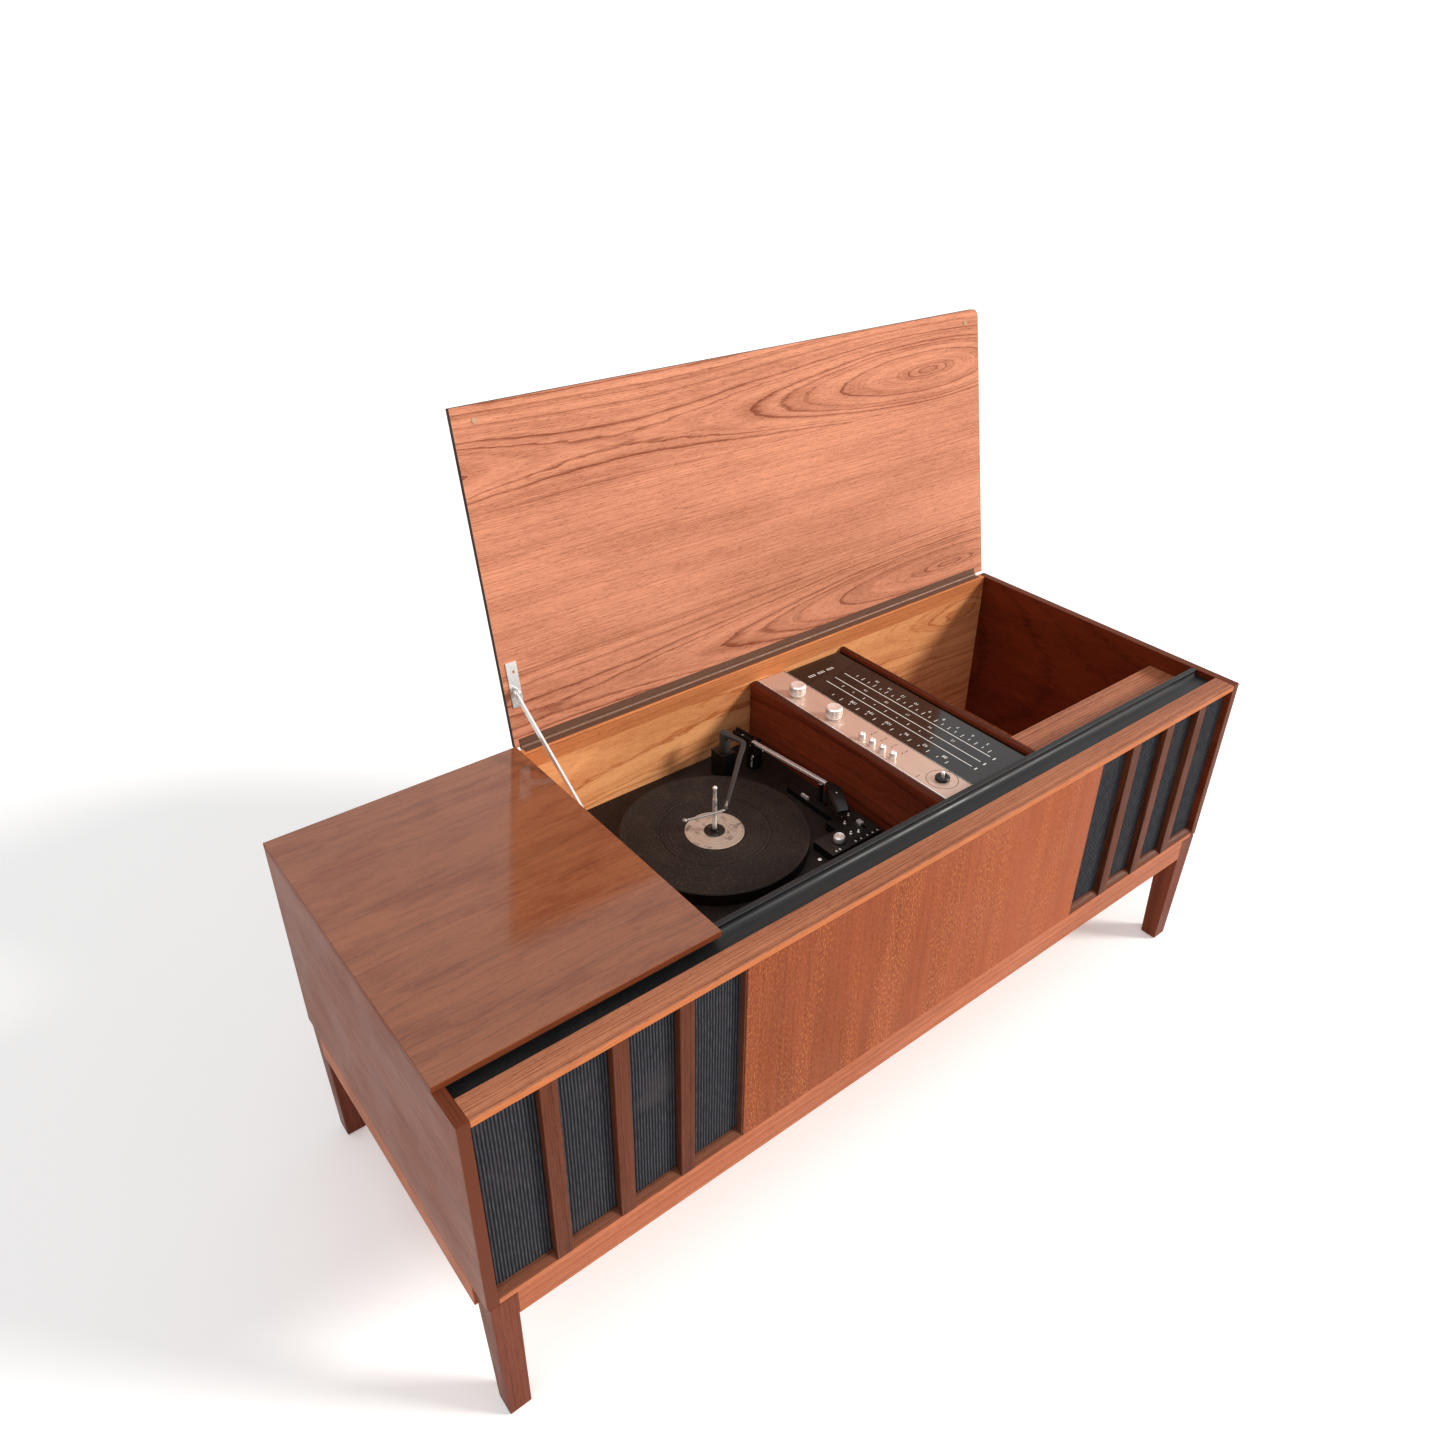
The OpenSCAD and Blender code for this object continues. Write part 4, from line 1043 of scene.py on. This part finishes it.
def digits(text, size):
    """Outlines of digits as a mesh, centred on the origin, in mm."""
    curve = bpy.data.curves.new("digits", "FONT")
    curve.body = text
    curve.size = size
    curve.align_x = "CENTER"
    curve.align_y = "CENTER"
    curve.extrude = 0.04
    curve.resolution_u = 2
    holder = bpy.data.objects.new("digits", curve)
    mesh = bpy.data.meshes.new_from_object(holder)
    bpy.data.objects.remove(holder)
    bpy.data.curves.remove(curve)
    return mesh


def dial_scale():
    """Three long scale lines with ticks, end dashes and numbers, on the glass."""
    piece = Piece("dial_scale", "case", "dial_glass", "scale_ink")
    z0, z1 = glass_hi.z, glass_hi.z + ink_height
    y0, y1 = glass_lo.y + 58.5, glass_lo.y + 377
    left = glass_lo.x
    lines = [left + 38, left + 58, left + 80]
    for x in lines:
        piece.block((x - 0.7, y0, z0), (x + 0.7, y1, z1))
        piece.block((x - 3.4, y0 - 9, z0), (x + 3.4, y0 - 6.8, z1))

    def ticks(x, y_from, y_to, count, length):
        for k in range(count):
            y = y_from + (y_to - y_from) * k / (count - 1)
            long = length * (1.0 if k % 2 == 0 else 0.6)
            piece.block((x - long / 2, y - 0.6, z0), (x + long / 2, y + 0.6, z1))

    def numbers(x, y_from, y_to, values, size):
        turned = Matrix.Rotation(math.pi / 2, 4, "Z")
        for k, value in enumerate(values):
            y = y_from + (y_to - y_from) * (k + 0.5) / len(values)
            mesh = digits(str(value), size)
            points = []
            for vert in mesh.vertices:
                p = turned @ vert.co
                points.append((x + p.x, y + p.y, z1 + p.z))
            piece.add(points, [tuple(poly.vertices) for poly in mesh.polygons])
            bpy.data.meshes.remove(mesh)

    ticks(left + 16, y0 + 30, y1 - 40, 14, 8)
    numbers(left + 25, y0 + 22, y1 - 60, (88, 92, 96, 100, 104, 108), 9)
    ticks(left + 48, y0 + 90, y1 - 30, 9, 6)
    numbers(left + 68.5, y0 + 40, y1 - 40, (15, 16, 17, 18, 19), 7.5)
    ticks(left + 91, y0 + 10, y1 - 20, 22, 9)
    numbers(left + 104, y0 + 10, y1 - 40, (5, 6, 7, 8, 9, 10, 12, 14, 16), 8.5)
    for group in range(3):
        for k in range(3):
            x = left + 22 + 20.8 * group + 5.2 * k
            piece.block((x, y1 + 24, z0), (x + 4.0, y1 + 25.6, z1))
            piece.block((x, y1 + 27.4, z0), (x + 4.0, y1 + 29, z1))
    piece.done()


turned_knob("volume_knob")
turned_knob("tone_knob")
for number in range(1, 5):
    push_button(number)
tuning_shaft()
panel_trim()
dial_scale()


# Case trim


def panel_reveals():
    """Dark strips in the gaps at both ends of the centre panel."""
    piece = Piece("panel_reveals", "case", "slat_wood", "cove_wood")
    for x0, x1 in ((panel_lo.x - 2.2, panel_lo.x - 0.1), (panel_hi.x + 0.1, panel_hi.x + 2.2)):
        piece.block((x0, 1.4, panel_lo.z + 0.1), (x1, 10.8, panel_hi.z - 0.1))
    piece.done(bevel=0.3)


def rear_screws():
    """Screw heads round the rear cover."""
    piece = Piece("rear_cover_screws", "case", "bright_steel")
    lo, hi = span("rear_cover")
    y = hi.y
    places = [(lo.x + 12 + (hi.x - lo.x - 24) * k / 7, z) for k in range(8)
              for z in (lo.z + 12, hi.z - 10)]
    for x, z in places:
        piece.rings([[(x + a, y + d, z + b) for a, b in circle(r, 16)]
                     for r, d in ((3.4, 0.0), (3.2, 0.5), (2.2, 1.2), (0.8, 1.4))])
    piece.done(sharp=50)


panel_reveals()
rear_screws()


# Camera, light and floor


def floor():
    """Plain pale floor that glows a little, which keeps the shadows soft."""
    s = Shader("floor", Roughness=0.85, Specular_IOR_Level=0.2, Emission_Color=(1, 1, 1, 1),
               Emission_Strength=0.24)
    shade = s.noise(s.place(), scale=0.8, detail=2.0)
    s.colour(s.mix(shade, (0.93, 0.93, 0.93, 1), (0.9, 0.9, 0.9, 1)))
    mesh = bpy.data.meshes.new("floor")
    half = 30.0
    mesh.from_pydata([(-half, -half, 0), (half, -half, 0), (half, half, 0), (-half, half, 0)], [],
                     [(0, 1, 2, 3)])
    mesh.materials.append(s.material)
    place("floor", mesh)


def soft_sun(name, source, spread, strength, colour=(1, 1, 1)):
    """A far light from the direction source, as wide as a window or a softbox."""
    lamp = bpy.data.lights.new(name, "SUN")
    lamp.angle = math.radians(spread)
    lamp.energy = strength
    lamp.color = colour
    place(name, lamp).rotation_euler = Vector(source).to_track_quat("Z", "Y").to_euler()


def world(strength, backdrop):
    """Even light from all round, and a white backdrop that shows and reflects at full strength."""
    made = bpy.data.worlds.new("studio")
    made.use_nodes = True
    tree = made.node_tree
    path = tree.nodes.new("ShaderNodeLightPath")
    seen = tree.nodes.new("ShaderNodeMath")
    seen.operation = "MAXIMUM"
    tree.links.new(path.outputs["Is Camera Ray"], seen.inputs[0])
    tree.links.new(path.outputs["Is Glossy Ray"], seen.inputs[1])
    level = tree.nodes.new("ShaderNodeMapRange")
    level.inputs["To Min"].default_value = strength
    level.inputs["To Max"].default_value = backdrop
    tree.links.new(seen.outputs[0], level.inputs["Value"])
    tree.links.new(level.outputs[0], tree.nodes["Background"].inputs["Strength"])
    tree.nodes["Background"].inputs["Color"].default_value = (1, 1, 1, 1)
    bpy.context.scene.world = made


def camera():
    """A mild wide-angle view down over the left front corner."""
    lens = bpy.data.cameras.new("camera")
    lens.lens = 27.516
    lens.sensor_width = 36.0
    lens.shift_x = 0.00237
    lens.shift_y = -0.0123
    obj = place("camera", lens)
    obj.location = (-0.93362, -0.96032, 1.44624)
    obj.rotation_euler = [math.radians(a) for a in (58.4626, -0.5684, -38.1312)]
    bpy.context.scene.camera = obj


floor()
world(0.42, 1.0)
soft_sun("window", (0.64, -0.56, 0.47), 14, 3.05, (1.0, 0.97, 0.92))
soft_sun("overhead", (-0.3, -0.1, 1.0), 60, 0.8)
camera()
bpy.context.scene.view_settings.view_transform = "Standard"
